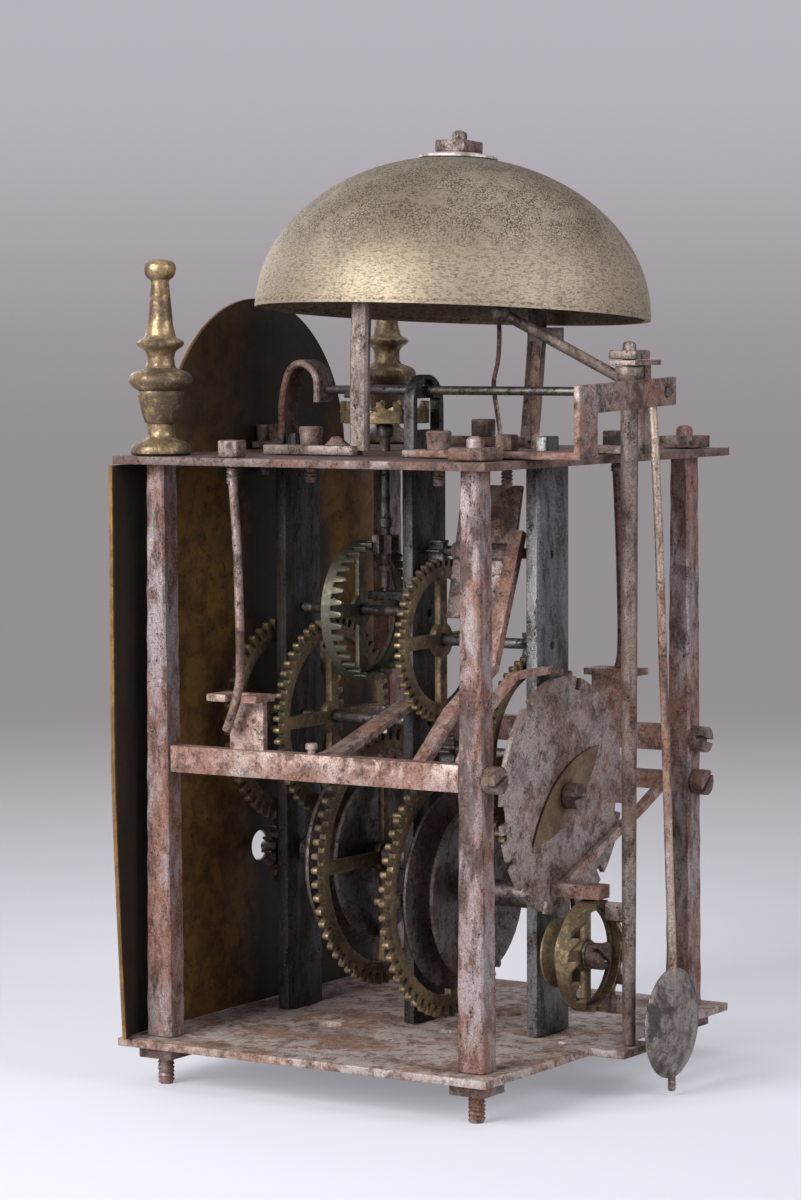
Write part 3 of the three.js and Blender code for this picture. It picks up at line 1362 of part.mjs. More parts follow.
// A screw with a slotted round head, its axis from front to back, its tip towards the front.
function slottedScrew(x, z, headY, shankRadius, tipY, tip = null) {
  const profile = [
    [0, tip ? tip.y : tipY],
    ...(tip ? [[tip.radius, tip.y], [tip.radius, tipY]] : []),
    [shankRadius, tipY],
    [shankRadius, headY],
    [SCREW_HEAD_RADIUS, headY],
    [SCREW_HEAD_RADIUS, headY + SCREW_HEAD_HEIGHT],
    [0, headY + SCREW_HEAD_HEIGHT],
  ];
  const slotTop = headY + SCREW_HEAD_HEIGHT + OVERRUN;
  const slot = block(
    [-SCREW_HEAD_RADIUS - OVERRUN, headY + SCREW_HEAD_HEIGHT / 2, -SCREW_SLOT / 2],
    [SCREW_HEAD_RADIUS + OVERRUN, slotTop, SCREW_SLOT / 2],
  ).translate(x, 0, z);
  return cut(arborAlong(profile, x, z, ROUND), slot);
}
add(
  "count_wheel_screw",
  slottedScrew(0, COUNT_Z, countDiscRear + SPRING_THICK + 2 * FIT, COUNT_STUD_RADIUS, barFace(BAR_REAR_Y, -1)),
  RUSTY_IRON,
);

// Pivot screws through the rear posts, each into the end of a side arbor.
const arborEnd = (z) => POST_Y - postHalfDepth(z) - 2 * FIT;
const pivotScrew = (side, z) =>
  slottedScrew(side * POST_X, z, POST_Y + postHalfDepth(z) + FIT, SCREW_RADIUS, arborEnd(z) + FIT, {
    radius: SCREW_TIP_RADIUS,
    y: arborEnd(z) - SCREW_TIP_DEPTH,
  });
add("detent_pivot_screw", pivotScrew(1, SIDE_ARBOR_Z), DARK_IRON);
add("hammer_pivot_screw", pivotScrew(-1, SIDE_ARBOR_Z), DARK_IRON);
add("alarm_pivot_screw", pivotScrew(-1, ALARM_ARBOR_Z), DARK_IRON);

// A square side arbor between a front and a rear post: a pivot in front, a recess for the screw behind.
function sideArbor(side, z, height, ...arms) {
  const x = side * POST_X;
  const end = arborEnd(z);
  return cut(
    join(
      block([x - SIDE_ARBOR_WIDTH / 2, -end, z - height / 2], [x + SIDE_ARBOR_WIDTH / 2, end, z + height / 2]),
      lengthways(SCREW_TIP_RADIUS, x, z, -POST_Y, -end + OVERRUN),
      ...arms,
    ),
    lengthways(SCREW_TIP_RADIUS + PIVOT_PLAY, x, z, end - SCREW_TIP_DEPTH - FIT, end + OVERRUN),
  );
}

// The forked tail that a spring rod presses: an upright plate, bent outwards with a slot at its top.
function forkedTail(side, y, slotY) {
  const inner = POST_X - SIDE_ARBOR_WIDTH / 2;
  const foot = SIDE_ARBOR_Z + SIDE_ARBOR_HEIGHT / 2 - OVERRUN;
  const top = SIDE_ARBOR_Z + SIDE_ARBOR_HEIGHT / 2 + FORK_HEIGHT;
  const spread = FORK_SLOT / 2;
  const tail = cut(
    join(
      block([inner, y - FORK_WIDTH / 2, foot], [inner + STRIP_THICK, y + FORK_WIDTH / 2, top]),
      block(
        [inner, y - FORK_WIDTH / 2 - spread, top - STRIP_THICK],
        [inner + FORK_REACH, y + FORK_WIDTH / 2 + spread, top],
      ),
    ),
    block(
      [inner + STRIP_THICK + 2 * FIT, slotY - FORK_SLOT / 2, top - STRIP_THICK - OVERRUN],
      [inner + FORK_REACH + OVERRUN, slotY + FORK_SLOT / 2, top + OVERRUN],
    ),
  );
  return side > 0 ? tail : tail.rotateZ(Math.PI).translate(0, 2 * y, 0);
}

// Detent arbor: the lifting strip, the locking lever and the strap that feels the count wheel.
const detentX = POST_X - SIDE_ARBOR_WIDTH / 2 + OVERRUN;
const arborTop = SIDE_ARBOR_Z + SIDE_ARBOR_HEIGHT / 2;
const STRAP_WIDTH = 3;
const strapTip = COUNT_Z + COUNT_RADIUS + FIT + STRIP_THICK / 2;
const LOCK_WIDTH = 4.6;
const lockY = STRIKE_SECOND_Y - WHEEL_THICK / 2 - LOCK_WIDTH / 2 - 2 * FIT;
const LIFT_WIDTH = 6.8;
const LIFT_RISE = 11;
// Shares of the way from the frame's middle to the arbor, and of the rise to the fly or to the strap's tip.
const lockShares = [
  [1, 0.025],
  [0.69, 0.269],
  [0.33, 0.454],
  [0.06, 1.11],
];
const strapShares = [
  [1, 0],
  [0.843, 0.45],
  [0.685, 0.73],
  [0.465, 1.03],
  [0.15, 1.04],
  [0.024, 1],
];
const along = (shares, top) =>
  shares.map(([x, rise]) => [x * detentX, SIDE_ARBOR_Z + rise * (top - SIDE_ARBOR_Z)]);
add(
  "detent_arbor",
  sideArbor(
    1,
    SIDE_ARBOR_Z,
    SIDE_ARBOR_HEIGHT,
    forkedTail(1, DETENT_FORK_Y, DETENT_FORK_Y + 2 * FIT),
    stripAcross(
      [
        [detentX, arborTop - STRIP_THICK],
        [detentX * 0.81, arborTop - STRIP_THICK / 3],
        [BAR_WIDTH / 2 + OVERRUN, arborTop + LIFT_RISE],
      ],
      STRIP_THICK,
      LIFT_WIDTH,
      BAR_MIDDLE_Y + OVERRUN,
    ),
    stripAcross(along(lockShares, FLY_Z), STRAP_WIDTH, LOCK_WIDTH, lockY),
    stripAcross(along(strapShares, strapTip), STRIP_THICK, STRAP_WIDTH, COUNT_DISC_Y),
  ),
  RUSTY_IRON,
);

// Hammer arbor: a forked tail, a tail that the pins lift, and the rod with the hammer head.
const toWheel = new THREE.Vector2(POST_X, STRIKE_GREAT_Z - SIDE_ARBOR_Z);
const pinSweep = hammerPinCircle + HAMMER_PIN_RADIUS + 2 * FIT;
const tailTip = toWheel
  .clone()
  .normalize()
  .multiplyScalar(toWheel.length() - pinSweep)
  .add(new THREE.Vector2(-POST_X, SIDE_ARBOR_Z));
const tailY = STRIKE_GREAT_Y - WHEEL_THICK / 2 - HAMMER_PIN_LENGTH / 2;
// Shares of the way in from the arbor to the head, and of the way up.
const hammerRodShares = [
  [0, 0],
  [0.55, 0.35],
  [1.12, 0.7],
  [1.18, 0.88],
  [1, 1],
];
add(
  "hammer_arbor",
  sideArbor(
    -1,
    SIDE_ARBOR_Z,
    SIDE_ARBOR_HEIGHT,
    forkedTail(-1, HAMMER_FORK_Y, HAMMER_FORK_Y + 2 * FIT),
    stripAcross(
      [
        [-detentX, SIDE_ARBOR_Z],
        [tailTip.x, tailTip.y],
      ],
      STRAP_WIDTH,
      STRIP_THICK,
      tailY,
    ),
    bentRod(
      hammerRodShares.map(([across, up]) => [
        across * HAMMER_INSET - POST_X,
        HAMMER_Y,
        SIDE_ARBOR_Z + up * (HAMMER_Z - SIDE_ARBOR_Z),
      ]),
      SPRING_RADIUS,
      10,
    ),
    block(
      [HEAD_SIDE / 2 - HAMMER_X - HEAD_LENGTH, HAMMER_Y - HEAD_SIDE / 2, HAMMER_Z - HEAD_SIDE / 2],
      [HEAD_SIDE / 2 - HAMMER_X, HAMMER_Y + HEAD_SIDE / 2, HAMMER_Z + HEAD_SIDE / 2],
    ),
  ),
  RUSTY_IRON,
);

// Alarm detent: a lever from its side arbor to a nib over the alarm wheel.
const alarmTop = ALARM_Z + ALARM_RADIUS;
const LEVER_WIDTH = 2.3;
const leverY = countDiscRear + FIT + SPRING_THICK + LEVER_WIDTH / 2 - SPRING_THICK;
const NIB_WIDTH = 7;
const NIB_HEIGHT = 4.2;
const nibFoot = alarmTop + 2 * FIT;
const leverBendShare = 0.24;
add(
  "alarm_detent",
  sideArbor(
    -1,
    ALARM_ARBOR_Z,
    ALARM_ARBOR_HEIGHT,
    stripAcross(
      [
        [-detentX, ALARM_ARBOR_Z],
        [-detentX * 0.75, ALARM_ARBOR_Z - leverBendShare * (ALARM_ARBOR_Z - nibFoot)],
        [ALARM_X, nibFoot + NIB_HEIGHT / 2],
      ],
      STRAP_WIDTH,
      LEVER_WIDTH,
      leverY,
    ),
    block(
      [ALARM_X - NIB_WIDTH / 2, leverY - LEVER_WIDTH / 2, nibFoot],
      [ALARM_X + NIB_WIDTH / 2, ALARM_BACK_Y + ALARM_BAND + ALARM_TOOTH, nibFoot + NIB_HEIGHT],
    ),
  ),
  RUSTY_IRON,
);

// Spring rods that hang from the top plate and press the forked tails.
// Shares of the way down from the plate to the fork, and of the sideways bend.
const springShares = [
  [0.385, 0.33],
  [0.85, 1],
];
const springFrom = CEILING_Z - SPRING_RADIUS;
const springRun = springFrom - arborTop - FORK_HEIGHT;
const springRod = (side, topY, y) =>
  bentRod(
    [
      [side * SPRING_X, topY, ROOF_Z + NUT_HEIGHT],
      [side * SPRING_X, topY, springFrom],
      ...springShares.map(([down, bend]) => [
        side * SPRING_X,
        y + bend * SPRING_BEND,
        springFrom - down * springRun,
      ]),
      [side * SPRING_X, y, arborTop + FORK_HEIGHT],
      [side * (SPRING_X - SPRING_BEND), y - SPRING_HOOK, arborTop + FORK_SLOT],
    ],
    SPRING_RADIUS,
    9,
  );
add("detent_spring", springRod(1, springTop.detent, DETENT_FORK_Y + 2 * FIT), DARK_IRON);
add("hammer_spring", springRod(-1, springTop.hammer, HAMMER_FORK_Y - 2 * FIT), DARK_IRON);

// Bell stand, in a frame of its own: the arch leans with the bell above the rim, the feet lie on the plate.
const standGroup = new THREE.Group();
standGroup.position.set(STAND_X, STAND_Y, ROOF_Z);
standGroup.rotation.z = (STAND_YAW * Math.PI) / 180;
clock.add(standGroup);
const tilt = (STAND_TILT * Math.PI) / 180;
const leanedBack = (geometry) => geometry.rotateX((-STAND_LEAN * Math.PI) / 180);
const leaned = (geometry) => leanedBack(geometry.rotateY(-tilt));
const bellInnerTop = BELL_RIM_Z + BELL_HEIGHT - BELL_WALL;
const archTop = bellInnerTop - FIT - STAND_THICK / 2;
const archHalf = STAND_HALF_SPAN + OVERRUN;
const archFoot = STAND_HALF_SPAN - OVERRUN;
const archLine = [[archFoot, STAND_THICK / 2]];
const archSteps = 6;
for (let i = 0; i <= 2 * archSteps; i++) {
  const angle = (i / archSteps) * (Math.PI / 2);
  const x = archHalf * Math.cos(angle);
  const z = BELL_RIM_Z + (archTop - BELL_RIM_Z) * Math.sin(angle);
  archLine.push([x * Math.cos(tilt) - z * Math.sin(tilt), x * Math.sin(tilt) + z * Math.cos(tilt)]);
}
archLine.push([-archFoot, STAND_THICK / 2]);
const BELL_STUD_RADIUS = 2.5;
const bellNutFoot = BELL_RIM_Z + BELL_HEIGHT + FIT;
const WASHER_THICK = 1;
// A foot reaches from the strap's leg towards the dial.
function standFoot(side) {
  const leg = side * STAND_HALF_SPAN;
  return block([leg - STAND_WIDTH / 2, -STAND_FOOT, FIT], [leg + STAND_WIDTH / 2, 0, FIT + STAND_THICK]);
}
const bellStudTop = bellNutFoot + WASHER_THICK + NUT_HEIGHT + NUT_DOME;
const stand = new THREE.Mesh(
  join(
    leanedBack(stripAcross(archLine, STAND_THICK, STAND_WIDTH, 0)),
    leaned(domedStud(BELL_STUD_RADIUS, 0, 0, archTop - STAND_THICK / 4, bellStudTop)),
    standFoot(1),
    standFoot(-1),
  ),
  RUSTY_IRON,
);
stand.name = "bell_stand";
standGroup.add(stand);

// Bell: a shallow dome, in section part of an ellipse, with a hole at the crown.
const bellShares = [0.05, 0.3, 0.55, 0.77, 0.92, 1];
const bellWall = (inset) =>
  bellShares.map((share) => {
    const rise = Math.sqrt(1 - share * share);
    return [share * (BELL_RADIUS - inset), BELL_RIM_Z + rise * (BELL_HEIGHT - inset)];
  });
const bellHole = BELL_STUD_RADIUS + FIT;
const crownFirst = (wall) => [[bellHole, wall[0][1]], ...wall.slice(1)];
const bellOuter = crownFirst(bellWall(0)).reverse();
const bellProfile = [...bellOuter, ...crownFirst(bellWall(BELL_WALL)), [BELL_RADIUS, BELL_RIM_Z]];
const bell = new THREE.Mesh(leaned(turned(bellProfile, FINE)), BELL_METAL);
bell.name = "bell";
standGroup.add(bell);
const bellNut = new THREE.Mesh(
  leaned(
    join(
      squareNut(0, 0, bellNutFoot + WASHER_THICK / 2, BELL_NUT_SIDE, bellHole),
      cut(
        upright(BELL_WASHER_RADIUS, 0, 0, bellNutFoot, bellNutFoot + WASHER_THICK, ROUND),
        upright(bellHole, 0, 0, bellNutFoot - OVERRUN, bellNutFoot + NUT_HEIGHT, ROUND),
      ),
    ),
  ),
  RUSTY_IRON,
);
bellNut.name = "bell_nut";
standGroup.add(bellNut);

// Alarm wheel: a crown wheel facing the rear, crossed out, with its rope pulley in front of it.
const alarmInner = ALARM_RADIUS - CROWN_RIM;
const alarmBore = SCREW_RADIUS + PIVOT_PLAY;
const ALARM_HUB_RADIUS = 4.6;
const alarmHubRear = ALARM_BACK_Y + ARM_THICK + OVERRUN;
const pulleyRear = ALARM_BACK_Y - ALARM_PULLEY_GAP;
const pulleyWaist = (ALARM_PULLEY_Y + pulleyRear) / 2;
add(
  "alarm_wheel",
  join(
    toLengthways(
      join(
        toothedRing(ALARM_TEETH, alarmInner, ALARM_RADIUS, sawtooth(ALARM_BAND, ALARM_BAND + ALARM_TOOTH)),
        ringArms(ALARM_RADIUS, alarmInner, alarmBore + FIT, ARM_THICK),
      ),
      ALARM_X,
      ALARM_BACK_Y,
      ALARM_Z,
    ),
    arborAlong(
      [
        [alarmBore, ALARM_PULLEY_Y],
        [ALARM_PULLEY_RADIUS, ALARM_PULLEY_Y],
        [ALARM_PULLEY_RADIUS, ALARM_PULLEY_Y + PULLEY_FLANGE],
        [ALARM_PULLEY_RADIUS * 0.7, pulleyWaist],
        [ALARM_PULLEY_RADIUS, pulleyRear - PULLEY_FLANGE],
        [ALARM_PULLEY_RADIUS, pulleyRear],
        [ALARM_HUB_RADIUS, pulleyRear],
        [ALARM_HUB_RADIUS, alarmHubRear],
        [alarmBore, alarmHubRear],
        [alarmBore, ALARM_PULLEY_Y],
      ],
      ALARM_X,
      ALARM_Z,
      ROUND,
    ),
  ),
  AGED_BRASS,
);
add(
  "alarm_wheel_screw",
  slottedScrew(ALARM_X, ALARM_Z, alarmHubRear + FIT, SCREW_RADIUS, barFace(BAR_REAR_Y, -1)),
  RUSTY_IRON,
);

// Alarm verge: an upright rod with two pallets, a hub that carries the alarm hammer, and a nut on top.
const alarmTeethTip = ALARM_BACK_Y + ALARM_BAND + ALARM_TOOTH;
const ALARM_PALLET_HEIGHT = 6;
const rodPallet = (z) =>
  block(
    [ALARM_X - PALLET_THICK / 2, alarmTeethTip + 2 * FIT, z - ALARM_PALLET_HEIGHT / 2],
    [ALARM_X + PALLET_THICK / 2, ALARM_ROD_Y, z + ALARM_PALLET_HEIGHT / 2],
  );
const HUB_HEIGHT = 3.4;
const ARM_HUB_RADIUS = 4.4;
const ARM_RADIUS = 1.8;
const hubTop = ALARM_HUB_Z + HUB_HEIGHT;
const BRACKET_THICK = 1.6;
const nutFoot = hubTop + BRACKET_THICK + 2 * FIT;
const ALARM_NUT_HEIGHT = 2.8;
add(
  "alarm_verge",
  join(
    turned(
      [
        [0, FIT],
        [SCREW_TIP_RADIUS, FIT],
        [SCREW_TIP_RADIUS, FLOOR_Z + FIT],
        [ALARM_ROD_FOOT_RADIUS, FLOOR_Z + FIT],
        [ALARM_ROD_TOP_RADIUS, ALARM_HUB_Z - HUB_HEIGHT],
        [ARM_HUB_RADIUS, ALARM_HUB_Z],
        [ARM_HUB_RADIUS, hubTop],
        [ALARM_ROD_FOOT_RADIUS, hubTop],
        [ALARM_ROD_FOOT_RADIUS, nutFoot + ALARM_NUT_HEIGHT + OVERRUN],
        [0, nutFoot + ALARM_NUT_HEIGHT + 2 * OVERRUN],
      ],
      SMALL,
    ).translate(ALARM_X, ALARM_ROD_Y, 0),
    block(
      [ALARM_X - ALARM_NUT_SIDE / 2, ALARM_ROD_Y - ALARM_NUT_SIDE / 2, nutFoot],
      [ALARM_X + ALARM_NUT_SIDE / 2, ALARM_ROD_Y + ALARM_NUT_SIDE / 2, nutFoot + ALARM_NUT_HEIGHT],
    ),
    rodPallet(alarmTop - ALARM_PALLET_HEIGHT / 2),
    rodPallet(ALARM_Z - ALARM_RADIUS + ALARM_PALLET_HEIGHT / 2),
    bentRod(
      [
        [ALARM_X, ALARM_ROD_Y, ALARM_HUB_Z - HUB_HEIGHT / 2],
        [ALARM_HAMMER_X, ALARM_HAMMER_Y, ALARM_HAMMER_Z],
      ],
      ARM_RADIUS,
      2,
    ),
    new THREE.SphereGeometry(HEAD_SIDE / 1.4, SMALL, 6).translate(
      ALARM_HAMMER_X,
      ALARM_HAMMER_Y,
      ALARM_HAMMER_Z,
    ),
  ),
  RUSTY_IRON,
);

// Alarm bracket: a foot on the top plate, a riser, and an arm with the rod's upper bearing.
const RISER_WIDTH = 4;
const bracketRear = ALARM_ROD_Y + OVERRUN;
const bracketTop = hubTop + FIT + BRACKET_THICK;
const riserRight = BRACKET_X + RISER_WIDTH;
const bearingReach = 1.6 * ALARM_ROD_TOP_RADIUS;
add(
  "alarm_bracket",
  cut(
    join(
      block(
        [BRACKET_X - BRACKET_FOOT, POST_Y - RISER_WIDTH, ROOF_Z + FIT],
        [riserRight, bracketRear, ROOF_Z + FIT + STRIP_THICK],
      ),
      block([BRACKET_X, bracketRear - RISER_WIDTH, ROOF_Z + FIT], [riserRight, bracketRear, bracketTop]),
      block(
        [BRACKET_X, ALARM_ROD_Y - bearingReach, hubTop + FIT],
        [ALARM_X + bearingReach, ALARM_ROD_Y + bearingReach, bracketTop],
      ),
    ),
    upright(ALARM_ROD_FOOT_RADIUS + PIVOT_PLAY, ALARM_X, ALARM_ROD_Y, hubTop, nutFoot + OVERRUN),
  ),
  RUSTY_IRON,
);

export default clock;
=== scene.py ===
import json
import math

import bmesh
import bpy
from mathutils import Matrix, Vector

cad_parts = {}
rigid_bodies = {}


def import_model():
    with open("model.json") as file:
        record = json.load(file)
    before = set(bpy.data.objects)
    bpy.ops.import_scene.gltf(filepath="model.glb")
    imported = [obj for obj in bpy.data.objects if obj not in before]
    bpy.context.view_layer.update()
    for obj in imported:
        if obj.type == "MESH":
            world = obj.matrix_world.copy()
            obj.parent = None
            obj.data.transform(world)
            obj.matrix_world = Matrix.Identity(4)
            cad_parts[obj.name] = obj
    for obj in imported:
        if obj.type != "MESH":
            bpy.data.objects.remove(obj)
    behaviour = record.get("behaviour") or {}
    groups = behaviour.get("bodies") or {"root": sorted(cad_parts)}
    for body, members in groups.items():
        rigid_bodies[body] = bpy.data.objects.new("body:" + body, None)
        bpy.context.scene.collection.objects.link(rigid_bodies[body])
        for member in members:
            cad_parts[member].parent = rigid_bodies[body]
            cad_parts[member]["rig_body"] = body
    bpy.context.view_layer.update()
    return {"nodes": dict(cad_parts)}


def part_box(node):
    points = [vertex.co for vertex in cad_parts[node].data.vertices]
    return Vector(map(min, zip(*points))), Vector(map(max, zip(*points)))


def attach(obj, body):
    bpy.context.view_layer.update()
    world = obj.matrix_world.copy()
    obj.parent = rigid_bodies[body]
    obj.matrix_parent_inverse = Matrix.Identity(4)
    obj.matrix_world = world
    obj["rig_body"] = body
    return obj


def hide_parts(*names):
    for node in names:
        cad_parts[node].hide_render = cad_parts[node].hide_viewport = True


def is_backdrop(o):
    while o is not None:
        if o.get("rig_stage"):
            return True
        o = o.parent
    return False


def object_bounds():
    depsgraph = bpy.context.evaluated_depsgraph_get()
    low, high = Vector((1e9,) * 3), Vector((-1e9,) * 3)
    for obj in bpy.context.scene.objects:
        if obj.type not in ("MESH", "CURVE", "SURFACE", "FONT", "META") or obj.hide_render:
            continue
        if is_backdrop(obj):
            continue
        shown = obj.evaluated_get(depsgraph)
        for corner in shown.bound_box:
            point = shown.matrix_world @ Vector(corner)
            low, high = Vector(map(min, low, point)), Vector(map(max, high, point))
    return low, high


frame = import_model()
MM = 0.001

# Studio: a pale round sweep that the clock stands in, with a soft lamp on each side and one above. Its tone
# is painted light: white near the clock, grey further back and lighter up the wall, and camera and glossy
# rays see it partly as a painted glow. The camera stands where the photograph was taken from, at the rear
# right.
scene = bpy.context.scene
scene.view_settings.view_transform = "Standard"


class Wire:
    """A value on its way through a node tree. Sums and products with it add Math nodes."""

    def __init__(self, tree, socket):
        self.tree = tree
        self.socket = socket

    def math(self, operation, first, second=0.0, clamp=False):
        made = self.tree.node(
            "ShaderNodeMath", {"operation": operation, "use_clamp": clamp}, {0: first, 1: second}
        )
        return made[0]

    def __add__(self, other):
        return self.math("ADD", self, other)

    def __radd__(self, other):
        return self.math("ADD", other, self)

    def __sub__(self, other):
        return self.math("SUBTRACT", self, other)

    def __rsub__(self, other):
        return self.math("SUBTRACT", other, self)

    def __mul__(self, other):
        return self.math("MULTIPLY", self, other)

    def __rmul__(self, other):
        return self.math("MULTIPLY", other, self)

    def __truediv__(self, other):
        return self.math("DIVIDE", self, other)

    def __pow__(self, other):
        return self.math("POWER", self, other)

    def clamped(self):
        return self.math("ADD", self, 0.0, clamp=True)

    def within(self, low, high):
        """0 below low, 1 above high, smooth between them."""
        made = self.tree.node(
            "ShaderNodeMapRange",
            {"interpolation_type": "SMOOTHSTEP"},
            {"Value": self, "From Min": low, "From Max": high},
        )
        return made[0]


class Made:
    """A node that was made: its outputs, by name or number, as wires."""

    def __init__(self, tree, node):
        self.tree = tree
        self.node = node

    def __getitem__(self, key):
        return Wire(self.tree, self.node.outputs[key])


class Tree:
    """A node tree of a material or of Geometry Nodes."""

    def __init__(self, tree):
        self.tree = tree

    def node(self, kind, settings=None, sockets=None):
        made = self.tree.nodes.new(kind)
        for key, value in (settings or {}).items():
            if key == "stops":
                ramp = made.color_ramp
                while len(ramp.elements) < len(value):
                    ramp.elements.new(1.0)
                for element, (position, colour) in zip(ramp.elements, value):
                    element.position = position
                    element.color = (*colour, 1.0)
            else:
                setattr(made, key, value)
        for key, value in (sockets or {}).items():
            if isinstance(value, Wire):
                self.tree.links.new(value.socket, made.inputs[key])
            else:
                made.inputs[key].default_value = value
        return Made(self, made)

    def blend(self, first, second, share, kind="MIX"):
        """Mixes two colours, each a wire or a tuple."""
        opaque = [(*c, 1.0) if isinstance(c, tuple) else c for c in (first, second)]
        settings = {"data_type": "RGBA", "blend_type": kind}
        return self.node("ShaderNodeMix", settings, {0: share, 6: opaque[0], 7: opaque[1]})[2]

    def noise(self, place, scale, detail=4.0, roughness=0.55, distortion=0.0):
        sockets = {"Vector": place, "Scale": scale, "Detail": detail, "Roughness": roughness}
        sockets["Distortion"] = distortion
        return self.node("ShaderNodeTexNoise", None, sockets)[0]


def new_finish(name):
    """A fresh material and its tree, with the place on the piece that its patterns read."""
    material = bpy.data.materials.new(name)
    material.use_nodes = True
    material.node_tree.nodes.clear()
    tree = Tree(material.node_tree)
    return material, tree, tree.node("ShaderNodeTexCoord")["Object"]


FLOOR_Z = -12.85 * MM
FLOOR_COLOUR = (0.75, 0.75, 0.82)
WALL_COLOUR = (0.3, 0.277, 0.286)
WALL_TOP_COLOUR = (0.49, 0.455, 0.51)
SWEEP_RADIUS = 1.6
SWEEP_WALL = 2.4
SWEEP_HEIGHT = 2.6

sweep = bpy.data.objects.new("studio_sweep", bpy.data.meshes.new("studio_sweep"))
scene.collection.objects.link(sweep)
rings = [(0.0, 0.0), (0.5, 0.0), (SWEEP_RADIUS, 0.0)]
for step in range(1, 9):
    turn = step / 8 * math.pi / 2
    bend = SWEEP_WALL - SWEEP_RADIUS
    rings.append((SWEEP_RADIUS + bend * math.sin(turn), bend * (1 - math.cos(turn))))
rings.append((SWEEP_WALL, SWEEP_HEIGHT))
SWEEP_SIDES = 96
mesh = bmesh.new()
rows = []
for radius, height in rings:
    row = []
    for side in range(SWEEP_SIDES if radius else 1):
        turn = side / SWEEP_SIDES * 2 * math.pi
        row.append(mesh.verts.new((radius * math.cos(turn), radius * math.sin(turn), FLOOR_Z + height)))
    rows.append(row)
for low, high in zip(rows, rows[1:]):
    for side in range(SWEEP_SIDES):
        near, far = side % len(low), (side + 1) % len(low)
        corners = [low[near], high[side], high[(side + 1) % SWEEP_SIDES]]
        if far != near:
            corners.append(low[far])
        mesh.faces.new(corners).smooth = True
mesh.to_mesh(sweep.data)
mesh.free()

material, tree, place = new_finish("studio_paper")
spot = tree.node("ShaderNodeSeparateXYZ", None, {0: place})
reach = (spot[0] * spot[0] + spot[1] * spot[1]) ** 0.5
# Painted light falloff: the paper's tone goes from white near the clock to grey further back, lighter again
# up the wall.
tone = tree.blend(FLOOR_COLOUR, WALL_COLOUR, reach.within(-0.1, 1.2))
tone = tree.blend(tone, WALL_TOP_COLOUR, spot[2].within(0.1, 0.5))
paper = tree.node("ShaderNodeBsdfDiffuse", None, {"Color": tone})[0]
shown = tree.node("ShaderNodeEmission", None, {"Color": tone, "Strength": 1.0})[0]
path = tree.node("ShaderNodeLightPath")
seen = (path["Is Camera Ray"] + path["Is Glossy Ray"]).clamped()
# Camera and glossy rays see the paper partly as a painted glow of that tone, mostly far off but some even
# near, which lifts the floor's shadows.
painted_glow_share = (reach.within(0.25, 0.8) * 0.65 + 0.35) * seen
lit = tree.node("ShaderNodeMixShader", None, {0: painted_glow_share, 1: paper, 2: shown})[0]
tree.node("ShaderNodeOutputMaterial", None, {"Surface": lit})
sweep.data.materials.append(material)
sweep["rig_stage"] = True

world = bpy.data.worlds.new("studio_air")
scene.world = world
world.use_nodes = True
world.node_tree.nodes["Background"].inputs["Color"].default_value = (0.95, 0.96, 1.0, 1.0)
world.node_tree.nodes["Background"].inputs["Strength"].default_value = 0.2

LAMPS = {
    "lamp_right": ((0.9, -0.22, 0.52), 0.6, 15.5, (1.0, 0.985, 0.965)),
    "lamp_rear": ((0.1, 1.1, 0.55), 0.6, 8.0, (0.97, 0.98, 1.0)),
    "lamp_above": ((-0.2, 0.1, 1.5), 1.3, 6.0, (1.0, 1.0, 1.0)),
    "lamp_front": ((-0.5, -1.25, 0.7), 1.0, 7.0, (0.98, 0.99, 1.0)),
}
for name, (position, size, power, colour) in LAMPS.items():
    light = bpy.data.lights.new(name, "AREA")
    light.size = size
    light.energy = power
    light.color = colour
    lamp = bpy.data.objects.new(name, light)
    scene.collection.objects.link(lamp)
    aim = Vector((0.0, 0.0, 0.12)) - Vector(position)
    lamp.matrix_world = Matrix.Translation(position) @ aim.to_track_quat("-Z", "Y").to_matrix().to_4x4()


def spun(degrees, axis):
    """A turn about one axis."""
    return Matrix.Rotation(math.radians(degrees), 4, axis)


CAMERA_PLACE = (1.0273, 0.64073, 0.22593)
CAMERA_AZIMUTH = 122.376
CAMERA_PITCH = 4.165
CAMERA_ROLL = -0.21
FOCAL_PIXELS = 3807.6
PHOTO_HEIGHT = 1200
camera = bpy.data.objects.new("camera", bpy.data.cameras.new("camera"))
scene.collection.objects.link(camera)
scene.camera = camera
camera.data.sensor_fit = "VERTICAL"
camera.data.sensor_height = 36.0
camera.data.lens = FOCAL_PIXELS / PHOTO_HEIGHT * camera.data.sensor_height
camera.data.clip_start = 0.05
camera.matrix_world = (
    Matrix.Translation(CAMERA_PLACE)
    @ spun(CAMERA_AZIMUTH, "Z")
    @ spun(90 - CAMERA_PITCH, "X")
    @ spun(CAMERA_ROLL, "Z")
)

# Plates: two wrought iron plates that hold the posts. Forged and filed flat, now brown with old rust, pitted,
# and rubbed bright in places. The lower one has rope holes and a lug behind it for the alarm's rod.


def surfaced(material, tree, colour, metallic, roughness, relief, strength=0.3, depth=0.3 * MM):
    """Ends a material with its colour, its sheen and the fine relief of its surface."""
    bump = tree.node("ShaderNodeBump", None, {"Strength": strength, "Distance": depth, "Height": relief})
    sockets = {"Base Color": colour, "Metallic": metallic, "Roughness": roughness, "Normal": bump["Normal"]}
    shader = tree.node("ShaderNodeBsdfPrincipled", None, sockets)
    tree.node("ShaderNodeOutputMaterial", None, {"Surface": shader[0]})
    return material


